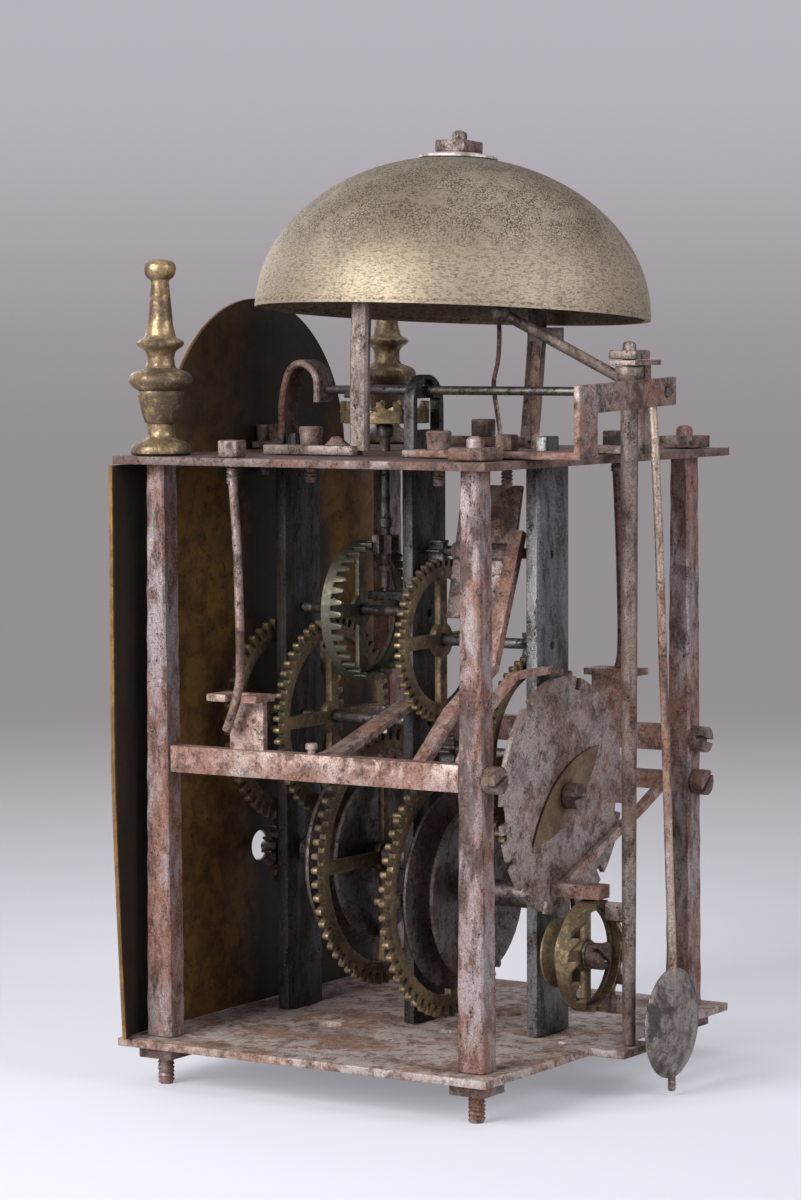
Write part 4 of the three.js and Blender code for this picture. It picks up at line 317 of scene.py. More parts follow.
def iron_finish(name, rust, metal, dark, rust_share=0.5, pit_depth=1.0, shine=0.45, stretch=(1.0, 1.0, 1.0)):
    """Old iron: rust in soft patches, greyer metal between them, a fine mottle, dark specks and pits."""
    material, tree, place = new_finish(name)
    drawn_out = tree.node("ShaderNodeMapping", None, {"Vector": place, "Scale": stretch})[0]
    patches = tree.noise(drawn_out, 34.0, 9.0, 0.68, 0.25)
    mottle = tree.noise(drawn_out, 230.0, 7.0, 0.72, 0.3)
    grain = tree.noise(place, 1000.0, 4.0, 0.7)
    specks = tree.noise(place, 2300.0, 2.0, 0.6)
    scale = tree.noise(drawn_out, 95.0, 8.0, 0.7, 0.35)
    pits = tree.node("ShaderNodeTexVoronoi", {"feature": "SMOOTH_F1"}, {"Vector": place, "Scale": 760.0})[0]
    pitted = (1.0 - pits.within(0.1, 0.34)) * mottle.within(0.44, 0.6)
    middle = 0.62 - 0.24 * rust_share
    rusted = (patches * 0.55 + mottle * 0.3 + grain * 0.15).within(middle - 0.045, middle + 0.045)
    colour = tree.blend(metal, rust, rusted)
    colour = tree.blend(colour, tuple(c * 0.32 for c in rust), mottle.within(0.47, 0.62) * 0.75)
    pale = tuple(min(1.0, c * 1.5 + 0.035) for c in metal)
    colour = tree.blend(colour, pale, grain.within(0.5, 0.62) * (0.6 - rusted * 0.4))
    colour = tree.blend(colour, dark, scale.within(0.5, 0.62) * (0.72 * pit_depth**2))
    colour = tree.blend(colour, dark, (specks.within(0.53, 0.65) * 0.6 + pitted * 0.85).clamped())
    relief = patches * 0.4 + mottle * 0.5 + grain * 0.35 - pitted * 0.9 - scale.within(0.5, 0.62) * 0.25
    metallic = (shine + 0.15 - rusted * 0.4).clamped()
    roughness = (0.5 + rusted * 0.2 + grain * 0.16 - shine * 0.15).clamped()
    return surfaced(material, tree, colour, metallic, roughness, relief, 0.6 * pit_depth, 0.5 * MM)


plate_iron = iron_finish(
    "plate_iron", (0.13, 0.066, 0.047), (0.18, 0.14, 0.13), (0.018, 0.013, 0.011), 0.55, 0.7
)
floor_iron = iron_finish(
    "floor_iron", (0.22, 0.125, 0.09), (0.36, 0.31, 0.29), (0.06, 0.04, 0.032), 0.5, 0.45, 0.05
)


def finished(mesh, name, body, finish, slot, *nodes):
    """Puts a mesh into the scene as a finished piece of a body, in place of CAD nodes if any are named."""
    piece = bpy.data.objects.new(name, mesh)
    scene.collection.objects.link(piece)
    mesh.materials.clear()
    mesh.materials.append(finish)
    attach(piece, body)
    if nodes:
        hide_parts(*nodes)
    return piece


def in_place(mesh, node, ending, finish, slot):
    """A finished piece in place of one CAD node, on the node's own body."""
    return finished(mesh, node + ending, frame["nodes"][node]["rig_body"], finish, slot, node)


def baked(source, name):
    """The mesh of an object after its modifiers, the object itself being thrown away."""
    bpy.context.view_layer.update()
    seen = source.evaluated_get(bpy.context.evaluated_depsgraph_get())
    mesh = bpy.data.meshes.new_from_object(seen)
    mesh.name = name
    data = source.data
    bpy.data.objects.remove(source)
    if isinstance(data, bpy.types.Mesh):
        bpy.data.meshes.remove(data)
    return mesh


def solid_from(work, name):
    """The mesh of a finished bmesh."""
    mesh = bpy.data.meshes.new(name)
    work.to_mesh(mesh)
    work.free()
    return mesh


def smoothed(mesh, sharp=38):
    """A mesh shaded smooth, but for edges that turn by more than some degrees."""
    mesh.shade_smooth()
    mesh.set_sharp_from_angle(angle=math.radians(sharp))
    return mesh


def eased(mesh, name, edge):
    """A mesh with its doubles merged, flat faces joined and edges eased, shaded smooth where it is round."""
    work = bmesh.new()
    work.from_mesh(mesh)
    bmesh.ops.remove_doubles(work, verts=work.verts, dist=0.002 * MM)
    bmesh.ops.dissolve_limit(work, angle_limit=math.radians(1.5), verts=work.verts, edges=work.edges)
    holder = bpy.data.objects.new(name, solid_from(work, name))
    scene.collection.objects.link(holder)
    bevel = holder.modifiers.new("eased", "BEVEL")
    bevel.width = edge
    bevel.segments = 2
    bevel.limit_method = "ANGLE"
    bevel.angle_limit = math.radians(35)
    return smoothed(baked(holder, name))


def dressed(node, finish, slot, edge=0.3 * MM):
    """A CAD node with eased edges and a better finish, in the node's own place."""
    return in_place(eased(frame["nodes"][node].data, node + "_eased", edge), node, "_eased", finish, slot)


dressed("bottom_plate", floor_iron, "rusty_iron", 0.35 * MM)
dressed("top_plate", plate_iron, "rusty_iron", 0.35 * MM)

# Posts: four forged iron posts, deeper at the foot than at the top, with a threaded stud at each end that
# goes through a plate and takes a square nut. Rusty, with file marks left on the faces.


def joined(name, *parts):
    """One mesh from several."""
    work = bmesh.new()
    for part in parts:
        work.from_mesh(part)
        bpy.data.meshes.remove(part)
    return smoothed(solid_from(work, name))


def lathe(name, profile, sides=48, move=None):
    """A turned piece about the Z axis from (radius, height) pairs in millimetres, bottom to top."""
    work = bmesh.new()
    rows = []
    for radius, height in profile:
        row = []
        for side in range(sides if radius > 1e-6 else 1):
            turn = side / sides * 2 * math.pi
            place = (radius * MM * math.cos(turn), radius * MM * math.sin(turn), height * MM)
            row.append(work.verts.new(place))
        rows.append(row)
    for low, high in zip(rows, rows[1:]):
        for side in range(sides):
            after = (side + 1) % sides
            places = ((low, side), (low, after), (high, after), (high, side))
            corners = list(dict.fromkeys(row[k % len(row)] for row, k in places))
            if len(corners) > 2:
                work.faces.new(corners)
    for row, flip in ((rows[0], True), (rows[-1], False)):
        if len(row) > 1:
            work.faces.new(list(reversed(row)) if flip else row)
    bmesh.ops.recalc_face_normals(work, faces=work.faces)
    if move is not None:
        bmesh.ops.transform(work, matrix=move, verts=work.verts)
    return smoothed(solid_from(work, name))


def at(x, y, z):
    """A shift in millimetres."""
    return Matrix.Translation((x * MM, y * MM, z * MM))


def new_geometry_tree(name, inputs):
    """A Geometry Nodes tree with named inputs: its group, tree, group input, and the inputs' identifiers."""
    group = bpy.data.node_groups.new(name, "GeometryNodeTree")
    group.interface.new_socket("Geometry", in_out="INPUT", socket_type="NodeSocketGeometry")
    keys = {}
    for label, kind in inputs.items():
        socket = group.interface.new_socket(label, in_out="INPUT", socket_type="NodeSocket" + kind)
        keys[label] = socket.identifier
    group.interface.new_socket("Geometry", in_out="OUTPUT", socket_type="NodeSocketGeometry")
    tree = Tree(group)
    return group, tree, tree.node("NodeGroupInput"), keys


def ended(tree, parts, finish):
    """Ends a Geometry Nodes tree: its parts joined, their copies made real, and their material set."""
    both = tree.node("GeometryNodeJoinGeometry")
    for part in parts:
        tree.tree.links.new(part.socket, both.node.inputs[0])
    whole = tree.node("GeometryNodeRealizeInstances", None, {"Geometry": both[0]})
    coated = tree.node("GeometryNodeSetMaterial", None, {"Geometry": whole[0], "Material": finish})
    tree.node("NodeGroupOutput", None, {"Geometry": coated[0]})


# The thread tree runs a three-cornered ridge along a spiral, around whatever the piece already holds.
thread_group, tree, given, thread_keys = new_geometry_tree(
    "thread",
    {"Turns": "Float", "Radius": "Float", "Length": "Float", "Ridge": "Float", "Material": "Material"},
)
spiral = tree.node(
    "GeometryNodeCurveSpiral",
    None,
    {
        "Resolution": 20,
        "Rotations": given["Turns"],
        "Start Radius": given["Radius"],
        "End Radius": given["Radius"],
        "Height": given["Length"],
    },
)
ridge = tree.node(
    "GeometryNodeCurvePrimitiveCircle", {"mode": "RADIUS"}, {"Resolution": 4, "Radius": given["Ridge"]}
)
swept = tree.node(
    "GeometryNodeCurveToMesh", None, {"Curve": spiral[0], "Profile Curve": ridge[0], "Fill Caps": True}
)
ended(tree, (given["Geometry"], swept[0]), given["Material"])


def grown(name, mesh, group, keys, values):
    """Runs a Geometry Nodes tree on a mesh and returns the plain mesh that comes out."""
    holder = bpy.data.objects.new(name, mesh)
    scene.collection.objects.link(holder)
    modifier = holder.modifiers.new(name, "NODES")
    modifier.node_group = group
    for label, value in values.items():
        modifier[keys[label]] = value
    return smoothed(baked(holder, name))


def threaded(name, radius, length, pitch, finish):
    """A threaded rod about the Z axis, from 0 up to its length, in millimetres."""
    ridge = pitch * 0.42
    root = radius - ridge
    profile = [(0, 0), (root - ridge * 0.3, 0), (root, length * 0.04), (root, length), (0, length)]
    values = {
        "Turns": (length - 2 * ridge) / pitch,
        "Radius": root * MM,
        "Length": (length - 2 * ridge) * MM,
        "Ridge": ridge * MM,
        "Material": finish,
    }
    core = lathe(name, profile, 24, at(0, 0, -ridge))
    made = grown(name, core, thread_group, thread_keys, values)
    made.transform(at(0, 0, ridge))
    return made


POST_X = 65.3
POST_Y = 57.2
POST_FACE = 8.0
POST_DEPTH_FOOT = 9.4
POST_DEPTH_TOP = 6.4
POST_FOOT_Z = 2.8
POST_TOP_Z = 182.2
POST_RINGS = 46
STUD_RADIUS = 2.7
STUD_FOOT_Z = -12.8
THREAD_PITCH = 1.25
post_iron = iron_finish(
    "post_iron",
    (0.2, 0.09, 0.062),
    (0.28, 0.235, 0.24),
    (0.024, 0.016, 0.014),
    rust_share=0.55,
    pit_depth=0.95,
    shine=0.4,
    stretch=(1.0, 1.0, 0.4),
)


def strap_section(width, thickness, corner=0.5):
    """A flat bar's section with its corners taken off."""
    a, b = width / 2, thickness / 2
    half = [(a - corner, -b), (a, -b + corner), (a, b - corner), (a - corner, b)]
    return half + [(-x, -y) for x, y in half]


def skinned(name, rings):
    """Skins rings of places in millimetres, each with as many corners, and closes both ends."""
    work = bmesh.new()
    rows = [[work.verts.new([size * MM for size in place]) for place in ring] for ring in rings]
    for low, high in zip(rows, rows[1:]):
        for side in range(len(low)):
            after = (side + 1) % len(low)
            work.faces.new((low[side], low[after], high[after], high[side]))
    work.faces.new(list(reversed(rows[0])))
    work.faces.new(rows[-1])
    bmesh.ops.recalc_face_normals(work, faces=work.faces)
    return smoothed(solid_from(work, name))


def forged_post(name):
    """A tapered bar with eased corners, in rings close enough to wander a little from the straight."""
    rings = []
    for ring in range(POST_RINGS + 1):
        share = ring / POST_RINGS
        waver = 0.05 * math.sin(ring * 0.43) + 0.025 * math.sin(ring * 1.7)
        depth = POST_DEPTH_FOOT + (POST_DEPTH_TOP - POST_DEPTH_FOOT) * share
        corner = 0.6 + 0.2 * math.sin(ring * 1.7)
        height = POST_FOOT_Z + (POST_TOP_Z - POST_FOOT_Z) * share
        section = strap_section(POST_FACE - 2 * abs(waver), depth - abs(waver), corner)
        rings.append([(x + waver * 0.5, y, height) for x, y in section])
    return skinned(name, rings)


for side, x in (("right", POST_X), ("left", -POST_X)):
    for end, y in (("front", -POST_Y), ("rear", POST_Y)):
        node = f"post_{end}_{side}"
        foot = threaded(node, STUD_RADIUS, POST_FOOT_Z - STUD_FOOT_Z, THREAD_PITCH, post_iron)
        foot.transform(at(0, 0, STUD_FOOT_Z))
        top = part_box(node)[1].z / MM
        head_profile = [
            (0, POST_TOP_Z - 1), (STUD_RADIUS, POST_TOP_Z - 1), (STUD_RADIUS, top - 1.5),
            (STUD_RADIUS * 0.93, top - 0.9), (STUD_RADIUS * 0.7, top - 0.35),
            (STUD_RADIUS * 0.35, top - 0.06), (0, top),
        ]
        post = joined(node, forged_post(node), foot, lathe(node, head_profile, 32))
        post.transform(at(x, y, 0))
        in_place(post, node, "_forged", post_iron, "rusty_iron")

# Nuts: square nuts cut from bar iron, under the plate at all four corners and on top of it at the rear ones.
# Each was filed by hand, so its corners are soft and its faces pitted.
nut_iron = iron_finish("nut_iron", (0.15, 0.08, 0.06), (0.22, 0.17, 0.155), (0.016, 0.012, 0.01), 0.55)
NUTS = (
    "post_nut_front_right", "post_nut_rear_right", "post_nut_front_left", "post_nut_rear_left",
    "top_nut_right", "top_nut_left",
)
for nut in NUTS:
    dressed(nut, nut_iron, "rusty_iron", 0.6 * MM)

# Finials: turned from cast brass, screwed onto the front posts' studs. A vase on a foot, a ring, and a long
# neck with a knob. The high parts are rubbed to old gold and dirt stays in the grooves.


def brass_finish(
    name, metal, patina, dirt, patina_share=0.5, turned=0.0, axis_scale=(1.0, 1.0, 1.0), dull=0.12
):
    """Old brass: a dull warm metal under uneven brown patina, with dark dirt in specks and recesses."""
    material, tree, place = new_finish(name)
    patches = tree.noise(place, 60.0, 8.0, 0.66, 0.4)
    grain = tree.noise(place, 560.0, 6.0, 0.7)
    specks = tree.noise(place, 1700.0, 3.0, 0.6)
    stretched = tree.node("ShaderNodeMapping", None, {"Vector": place, "Scale": axis_scale})[0]
    marks = tree.noise(stretched, 900.0, 2.0, 0.5)
    hollow = tree.node("ShaderNodeAmbientOcclusion", {"samples": 6}, {"Distance": 3.5 * MM})["AO"]
    recess = 1.0 - hollow.within(0.35, 0.92)
    middle = 0.64 - 0.28 * patina_share
    cover = (patches * 0.6 + grain * 0.4).within(middle - 0.09, middle + 0.09)
    colour = tree.blend(metal, patina, cover)
    bright = tuple(min(1.0, c * 1.3 + 0.03) for c in metal)
    colour = tree.blend(colour, bright, grain.within(0.54, 0.7) * (0.5 - cover * 0.3))
    colour = tree.blend(colour, dirt, (recess * 0.9 + specks.within(0.56, 0.7) * 0.55).clamped())
    relief = patches * 0.3 + grain * 0.4 + marks * turned
    metallic = (0.85 - recess * 0.5 - cover * 0.25).clamped()
    roughness = (0.28 + dull + cover * 0.2 + grain * 0.12 + recess * 0.2).clamped()
    return surfaced(material, tree, colour, metallic, roughness, relief)


finial_brass = brass_finish(
    "finial_brass",
    (0.46, 0.33, 0.17),
    (0.085, 0.058, 0.038),
    (0.014, 0.01, 0.007),
    patina_share=0.72,
    turned=0.5,
    axis_scale=(0.15, 0.15, 1.0),
    dull=0.0,
)
FINIAL_FOOT_Z = 185.3
FINIAL_PROFILE = [
    (0, 8), (3, 8), (3, 0), (9.1, 0), (9.5, 0.5), (9.5, 2.0), (9.1, 2.7), (8.7, 3.1), (7.9, 3.7),
    (6.0, 4.5), (4.7, 5.2), (4.3, 6.0), (4.3, 9.4), (4.7, 9.8), (5.2, 10.2), (5.8, 12.4), (6.3, 14.2),
    (6.7, 16), (7.1, 18), (7.3, 19.5), (7.1, 19.9), (8.1, 20.4), (9.2, 21.3), (9.8, 22.4), (9.95, 23.2),
    (9.7, 24.3), (9.0, 25.2), (7.8, 25.8), (6.2, 26.3), (4.9, 26.9), (4.4, 28), (4.3, 30.4), (4.6, 31.6),
    (5.4, 32.6), (6.6, 33.3), (7.3, 34.1), (7.4, 34.8), (6.9, 35.4), (6.0, 35.8), (5.1, 36.3), (4.7, 37.1),
    (4.0, 39.9), (3.6, 44.5), (3.2, 49), (2.8, 53.4), (3.0, 54.2), (4.0, 54.8), (4.7, 56), (5.0, 57.6),
    (4.8, 58.9), (4.0, 59.9), (2.3, 60.4), (0, 60.6),
]
for side, x in (("right", POST_X), ("left", -POST_X)):
    finial = lathe(f"finial_{side}", FINIAL_PROFILE, 64, at(x, -POST_Y, FINIAL_FOOT_Z))
    in_place(finial, f"finial_{side}", "_turned", finial_brass, "aged_brass")

# Bars: three upright iron bars, tenoned through both plates, that carry the pivots of the wheels. They are
# filed bright and were oiled, so they are greyer and darker than the frame; the front and middle ones are
# painted far darker still, as painted shade for where they stand deep in the frame's shade. The middle one
# ends in a bridge.
ALONG_BAR = (1.0, 1.0, 0.35)
bar_steel = iron_finish(
    "bar_steel", (0.085, 0.065, 0.055), (0.18, 0.178, 0.185), (0.01, 0.009, 0.009), 0.25, 0.7, 0.6, ALONG_BAR
)
# The front and middle bars take this far darker copy of the bar iron: painted shade, for the shade inside the
# frame.
dark_iron = iron_finish(
    "dark_iron", (0.045, 0.03, 0.025), (0.06, 0.057, 0.058), (0.007, 0.006, 0.006), 0.35, 0.8, 0.6, ALONG_BAR
)
dressed("bar_front", dark_iron, "dark_iron")
dressed("bar_middle", dark_iron, "dark_iron")
dressed("bar_rear", bar_steel, "worn_steel")

# Dial: a sheet of brass that closes the front, with an arched top, and a silvered chapter ring on it for the
# one hand. Its back is painted nearly black as painted shade, but for two painted lit patches; its front was
# once polished.
DIAL_HALF = 80.0
DIAL_BACK_Y = -65.5
DIAL_THICK = 1.5
DIAL_FOOT_Z = 2.8
DIAL_SQUARE_Z = 182.2
ARCH_RADIUS = 51.8
BEND_X = 70.0
BEND_TOP_Z = 90.0
BEND_DEPTH = 3.6
BEND_CURVE_ACROSS = 1.4
BEND_CURVE_DOWN = 1.3
HOUR_Z = 97.36
GOING_GREAT_Z = 54.34

# The back is painted near-black as painted shade, with a golden-brown painted patch of light on either side
# that fades towards the top; its outer edge stays golden. The front is an even brown, and begins half way
# through the sheet, also where its corner is bent.
shade_painted_dial, tree, place = new_finish("dial_painted_shade_and_light")
waver = (tree.noise(place, 34.0, 7.0, 0.66) - 0.5) * (36 * MM)
spot = tree.node("ShaderNodeSeparateXYZ", None, {0: place})
across = spot[0] + waver
upward = spot[2] + waver
# Painted light: the lit patches, placed by position on the back, show the golden colour; outside them the
# back is painted shade.
lit_patches = across.within(0.0, 18 * MM) * (1.0 - across.within(42 * MM, 52 * MM))
lit_patches = lit_patches + (1.0 - across.within(-46 * MM, -34 * MM)) * upward.within(95 * MM, 130 * MM)
lit_patches = lit_patches * (1.0 - upward.within(170 * MM, 196 * MM) * 0.8) + 0.06
edge_on = spot[0].within(79.2 * MM, 79.9 * MM)
grain = tree.noise(place, 620.0, 6.0, 0.7)
blots = tree.noise(place, 120.0, 6.0, 0.68, 0.5)
golden = tree.blend((0.24, 0.125, 0.034), (0.13, 0.065, 0.022), blots.within(0.38, 0.62))
shown = (lit_patches * (1.0 - blots.within(0.55, 0.7) * 0.5) + edge_on * 0.8).clamped()
# Painted shade: the near-black colour where the back lies outside the lit patches.
colour = tree.blend((0.008, 0.006, 0.005), golden, shown)
beside = ((spot[0] / MM - BEND_X) / (DIAL_HALF - BEND_X)).clamped()
below = (1.0 - (spot[2] / MM - DIAL_FOOT_Z) / (BEND_TOP_Z - DIAL_FOOT_Z)).clamped()
bent = beside**BEND_CURVE_ACROSS * below**BEND_CURVE_DOWN * (BEND_DEPTH * MM)
in_front = 1.0 - (spot[1] - bent).within((DIAL_BACK_Y - 1.1) * MM, (DIAL_BACK_Y - 0.7) * MM)
cleaned = tree.blend((0.27, 0.18, 0.078), (0.2, 0.13, 0.058), blots.within(0.38, 0.62))
colour = tree.blend(colour, cleaned, in_front)
shown = (shown + in_front).clamped()
colour = tree.blend(colour, (0.01, 0.008, 0.006), grain.within(0.56, 0.68) * 0.7)
metallic = (0.3 + shown * 0.4).clamped()
roughness = (0.5 + grain * 0.2 - shown * 0.08).clamped()
surfaced(shade_painted_dial, tree, colour, metallic, roughness, blots * 0.4 + grain * 0.4)


def ring_of(radius, sides, height=0.0):
    """Points around a circle in millimetres, its centre at a height."""
    turns = [2 * math.pi * k / sides for k in range(sides)]
    return [(radius * math.cos(turn), height + radius * math.sin(turn)) for turn in turns]


def sheet(name, outlines, thickness, edge=0.15):
    """A flat piece with holes, from closed outlines in millimetres, between 0 and its thickness on Z."""
    curve = bpy.data.curves.new(name, "CURVE")
    curve.dimensions = "2D"
    curve.fill_mode = "BOTH"
    curve.extrude = (thickness / 2 - edge) * MM
    curve.bevel_depth = edge * MM
    curve.bevel_resolution = 1
    curve.offset = -edge * MM
    for outline in outlines:
        spline = curve.splines.new("POLY")
        spline.points.add(len(outline) - 1)
        for point, (x, y) in zip(spline.points, outline):
            point.co = (x * MM, y * MM, 0.0, 1.0)
        spline.use_cyclic_u = True
    holder = bpy.data.objects.new(name, curve)
    scene.collection.objects.link(holder)
    mesh = baked(holder, name)
    work = bmesh.new()
    work.from_mesh(mesh)
    bmesh.ops.remove_doubles(work, verts=work.verts, dist=0.001 * MM)
    bmesh.ops.recalc_face_normals(work, faces=work.faces)
    work.to_mesh(mesh)
    work.free()
    mesh.transform(at(0, 0, thickness / 2))
    return smoothed(mesh)


def facing_front(y, z):
    """Stands a sheet upright: its outline's y becomes height, and its thickness goes to the front from y."""
    return at(0, y, z) @ spun(90, "X")


dial_outline = [(-DIAL_HALF, DIAL_FOOT_Z), (DIAL_HALF, DIAL_FOOT_Z), (DIAL_HALF, DIAL_SQUARE_Z)]
for k in range(65):
    turn = math.pi * k / 64
    dial_outline.append((ARCH_RADIUS * math.cos(turn), DIAL_SQUARE_Z + ARCH_RADIUS * math.sin(turn)))
dial_outline.append((-DIAL_HALF, DIAL_SQUARE_Z))
dial_holes = [ring_of(5.4, 32, HOUR_Z), ring_of(5, 32, GOING_GREAT_Z)]
dial = sheet("dial_plate", [dial_outline, *dial_holes], DIAL_THICK, 0.2)
dial.transform(facing_front(DIAL_BACK_Y, 0))

# One lower corner has been knocked inwards, past the post. The sheet is cut into strips there to bend.
work = bmesh.new()
work.from_mesh(dial)
cuts = [((x * MM, 0, 0), (1, 0, 0)) for x in range(70, 80, 2)]
cuts += [((0, 0, z * MM), (0, 0, 1)) for z in range(6, 91, 6)]
for spot, normal in cuts:
    everything = work.verts[:] + work.edges[:] + work.faces[:]
    bmesh.ops.bisect_plane(work, geom=everything, dist=1e-6, plane_co=spot, plane_no=normal)
for vert in work.verts:
    beside = max(0.0, vert.co.x / MM - BEND_X) / (DIAL_HALF - BEND_X)
    below = min(1.0, max(0.0, 1 - (vert.co.z / MM - DIAL_FOOT_Z) / (BEND_TOP_Z - DIAL_FOOT_Z)))
    vert.co.y += BEND_DEPTH * MM * beside**BEND_CURVE_ACROSS * below**BEND_CURVE_DOWN
work.to_mesh(dial)
work.free()
finished(smoothed(dial), "dial_sheet", "frame", shade_painted_dial, "aged_brass", "dial_plate")

# The chapter ring is engraved: hour numerals filled with black wax, half-hour marks, and a ring of quarters
# inside them, as a clock with one hand has.
silvered = brass_finish("silvered_brass", (0.62, 0.6, 0.54), (0.42, 0.38, 0.3), (0.12, 0.1, 0.075), 0.4, 0.4)
black_wax, tree, place = new_finish("black_wax")
waxy = tree.noise(place, 800.0, 4.0, 0.6)
worn_wax = tree.blend((0.012, 0.011, 0.01), (0.06, 0.052, 0.045), waxy.within(0.5, 0.7))
wax_sockets = {"Base Color": worn_wax, "Roughness": 0.35 + waxy * 0.3}
wax_shader = tree.node("ShaderNodeBsdfPrincipled", None, wax_sockets)
tree.node("ShaderNodeOutputMaterial", None, {"Surface": wax_shader[0]})
CHAPTER_OUTER = 68.0
CHAPTER_INNER = 48.0
CHAPTER_BACK_Y = -67.3
CHAPTER_THICK = 1.3
NUMERALS = ["XII", "I", "II", "III", "IIII", "V", "VI", "VII", "VIII", "IX", "X", "XI"]
NUMERAL_HEIGHT = 10.0
NUMERAL_RADIUS = 58.6
NUMERAL_NARROWED = 0.72
WAX_PROUD = 0.04
LOZENGE = [(0, 53.2), (1.5, 57.6), (0, 63.8), (-1.5, 57.6)]
QUARTER = [(-0.22, 48.9), (0.22, 48.9), (0.22, 51.3), (-0.22, 51.3)]
LINE_RADII = (48.8, 51.4, 65.6)
chapter = sheet("chapter_ring", [ring_of(CHAPTER_OUTER, 128), ring_of(CHAPTER_INNER, 128)], CHAPTER_THICK)
chapter.transform(facing_front(CHAPTER_BACK_Y, HOUR_Z))
in_place(chapter, "chapter_ring", "_engraved", silvered, "silvered_brass")


def wax_mark(name, outline, hours):
    """A wax-filled mark, drawn with the centre of the dial below it, turned clockwise to its hour."""
    mesh = sheet(name, [outline], 2 * WAX_PROUD, 0.01)
    mesh.transform(spun(-30 * hours, "Z"))
    return mesh


def numeral(hours, text):
    """A numeral of the chapter ring, narrowed as engraved ones are, with its foot towards the centre."""
    name = f"numeral_{hours}"
    curve = bpy.data.curves.new(name, "FONT")
    curve.body = text
    curve.size = NUMERAL_HEIGHT * 1.35 * MM
    curve.align_x = "CENTER"
    curve.align_y = "CENTER"
    curve.extrude = WAX_PROUD * MM
    curve.resolution_u = 3
    curve.space_character = 0.92
    holder = bpy.data.objects.new(name, curve)
    scene.collection.objects.link(holder)
    mesh = baked(holder, name)
    narrowed = Matrix.Diagonal((NUMERAL_NARROWED, 1.0, 1.0, 1.0))
    mesh.transform(spun(-30 * hours, "Z") @ at(0, NUMERAL_RADIUS, 0) @ narrowed)
    return mesh


marks = [numeral(hours, text) for hours, text in enumerate(NUMERALS)]
marks += [wax_mark(f"half_hour_{hour}", LOZENGE, hour + 0.5) for hour in range(12)]
marks += [wax_mark(f"quarter_{quarter}", QUARTER, quarter / 4) for quarter in range(48)]
for radius in LINE_RADII:
    line = [ring_of(radius + 0.16, 128), ring_of(radius - 0.16, 128)]
    marks.append(sheet(f"line_{radius:.0f}", line, 2 * WAX_PROUD, 0.01))
wax = joined("chapter_wax", *marks)
wax.transform(facing_front(CHAPTER_BACK_Y - CHAPTER_THICK + WAX_PROUD, HOUR_Z))
finished(wax, "chapter_wax", "frame", black_wax, "dark_iron")

# Hand: one hand, sawn and filed from sheet iron, blued once and now nearly black. It sits on the end of the
# hour wheel's pipe, in front of the dial.
hand_iron = iron_finish("hand_iron", (0.1, 0.07, 0.06), (0.09, 0.09, 0.1), (0.015, 0.014, 0.014), 0.2, 0.5)
HAND_HALF = [
    (0, 46), (0.5, 42), (1.3, 37.5), (3.2, 34.2), (4.6, 30.4), (4.0, 27.6), (2.2, 25.4), (1.4, 23.6),
    (2.8, 22.4), (2.8, 21.0), (1.5, 19.6), (1.4, 14), (1.9, 9.5), (3.6, 6.6), (5.4, 3.6), (6.0, 0),
    (5.4, -3.4), (3.6, -6.0), (1.7, -8.4), (1.3, -10.6), (2.3, -12.6), (2.6, -14.0), (1.5, -15.0),
]
hand_outline = HAND_HALF + [(-x, y) for x, y in reversed(HAND_HALF) if x]
HAND_BACK_Y = -71.1
HAND_THICK = 1.6
hand = sheet("hour_hand", [hand_outline, ring_of(4.1, 32)], HAND_THICK, 0.3)
hand.transform(facing_front(HAND_BACK_Y, HOUR_Z))
in_place(hand, "hour_hand", "_filed", hand_iron, "dark_iron")

# Wheels: cast brass blanks, crossed out to four arms, with teeth cut around the rim and rounded by hand. The
# tree repeats one tooth around a wheel. Wheels ride on iron arbors whose pinions are cut from the solid.
tooth_group, tree, given, tooth_keys = new_geometry_tree(
    "teeth", {"Tooth": "Object", "Teeth": "Int", "Phase": "Float", "Material": "Material"}
)
shape = tree.node("GeometryNodeObjectInfo", {"transform_space": "ORIGINAL"}, {"Object": given["Tooth"]})
spots = tree.node("GeometryNodePoints", None, {"Count": given["Teeth"]})
turn = tree.node("GeometryNodeInputIndex")[0] * (2 * math.pi) / given["Teeth"] + given["Phase"]
facing = tree.node("ShaderNodeCombineXYZ", None, {"Z": turn})
around = tree.node(
    "GeometryNodeInstanceOnPoints",
    None,
    {"Points": spots[0], "Instance": shape["Geometry"], "Rotation": facing[0]},
)
ended(tree, (given["Geometry"], around[0]), given["Material"])


def toothed(name, blank, tooth, count, phase, finish):
    """A blank about the Z axis with one tooth repeated around it."""
    pattern = bpy.data.objects.new(name + "_tooth", tooth)
    scene.collection.objects.link(pattern)
    values = {"Tooth": pattern, "Teeth": count, "Phase": phase, "Material": finish}
    made = grown(name, blank, tooth_group, tooth_keys, values)
    bpy.data.objects.remove(pattern)
    return made


def along_y(x, y, z):
    """Lays a piece that was made about the Z axis along the Y axis, its top to the rear."""
    return at(x, y, z) @ spun(-90, "X")


wheel_brass = brass_finish(
    "wheel_brass", (0.31, 0.23, 0.13), (0.1, 0.07, 0.042), (0.01, 0.008, 0.006), 0.58, 0.15
)
arbor_steel = iron_finish(
    "arbor_steel", (0.085, 0.055, 0.043), (0.15, 0.14, 0.14), (0.01, 0.009, 0.008), 0.35, 0.6, 0.7
)
WHEEL_THICK = 2.3
RIM_WIDTH = 3.6
ARM_WIDTH = 4.2
WHEEL_FOOT = 1.6
WHEEL_TIP = 0.95
HUB_RADIUS = 5.2
ARBOR_BORE = 1.9
LEAVES = 6


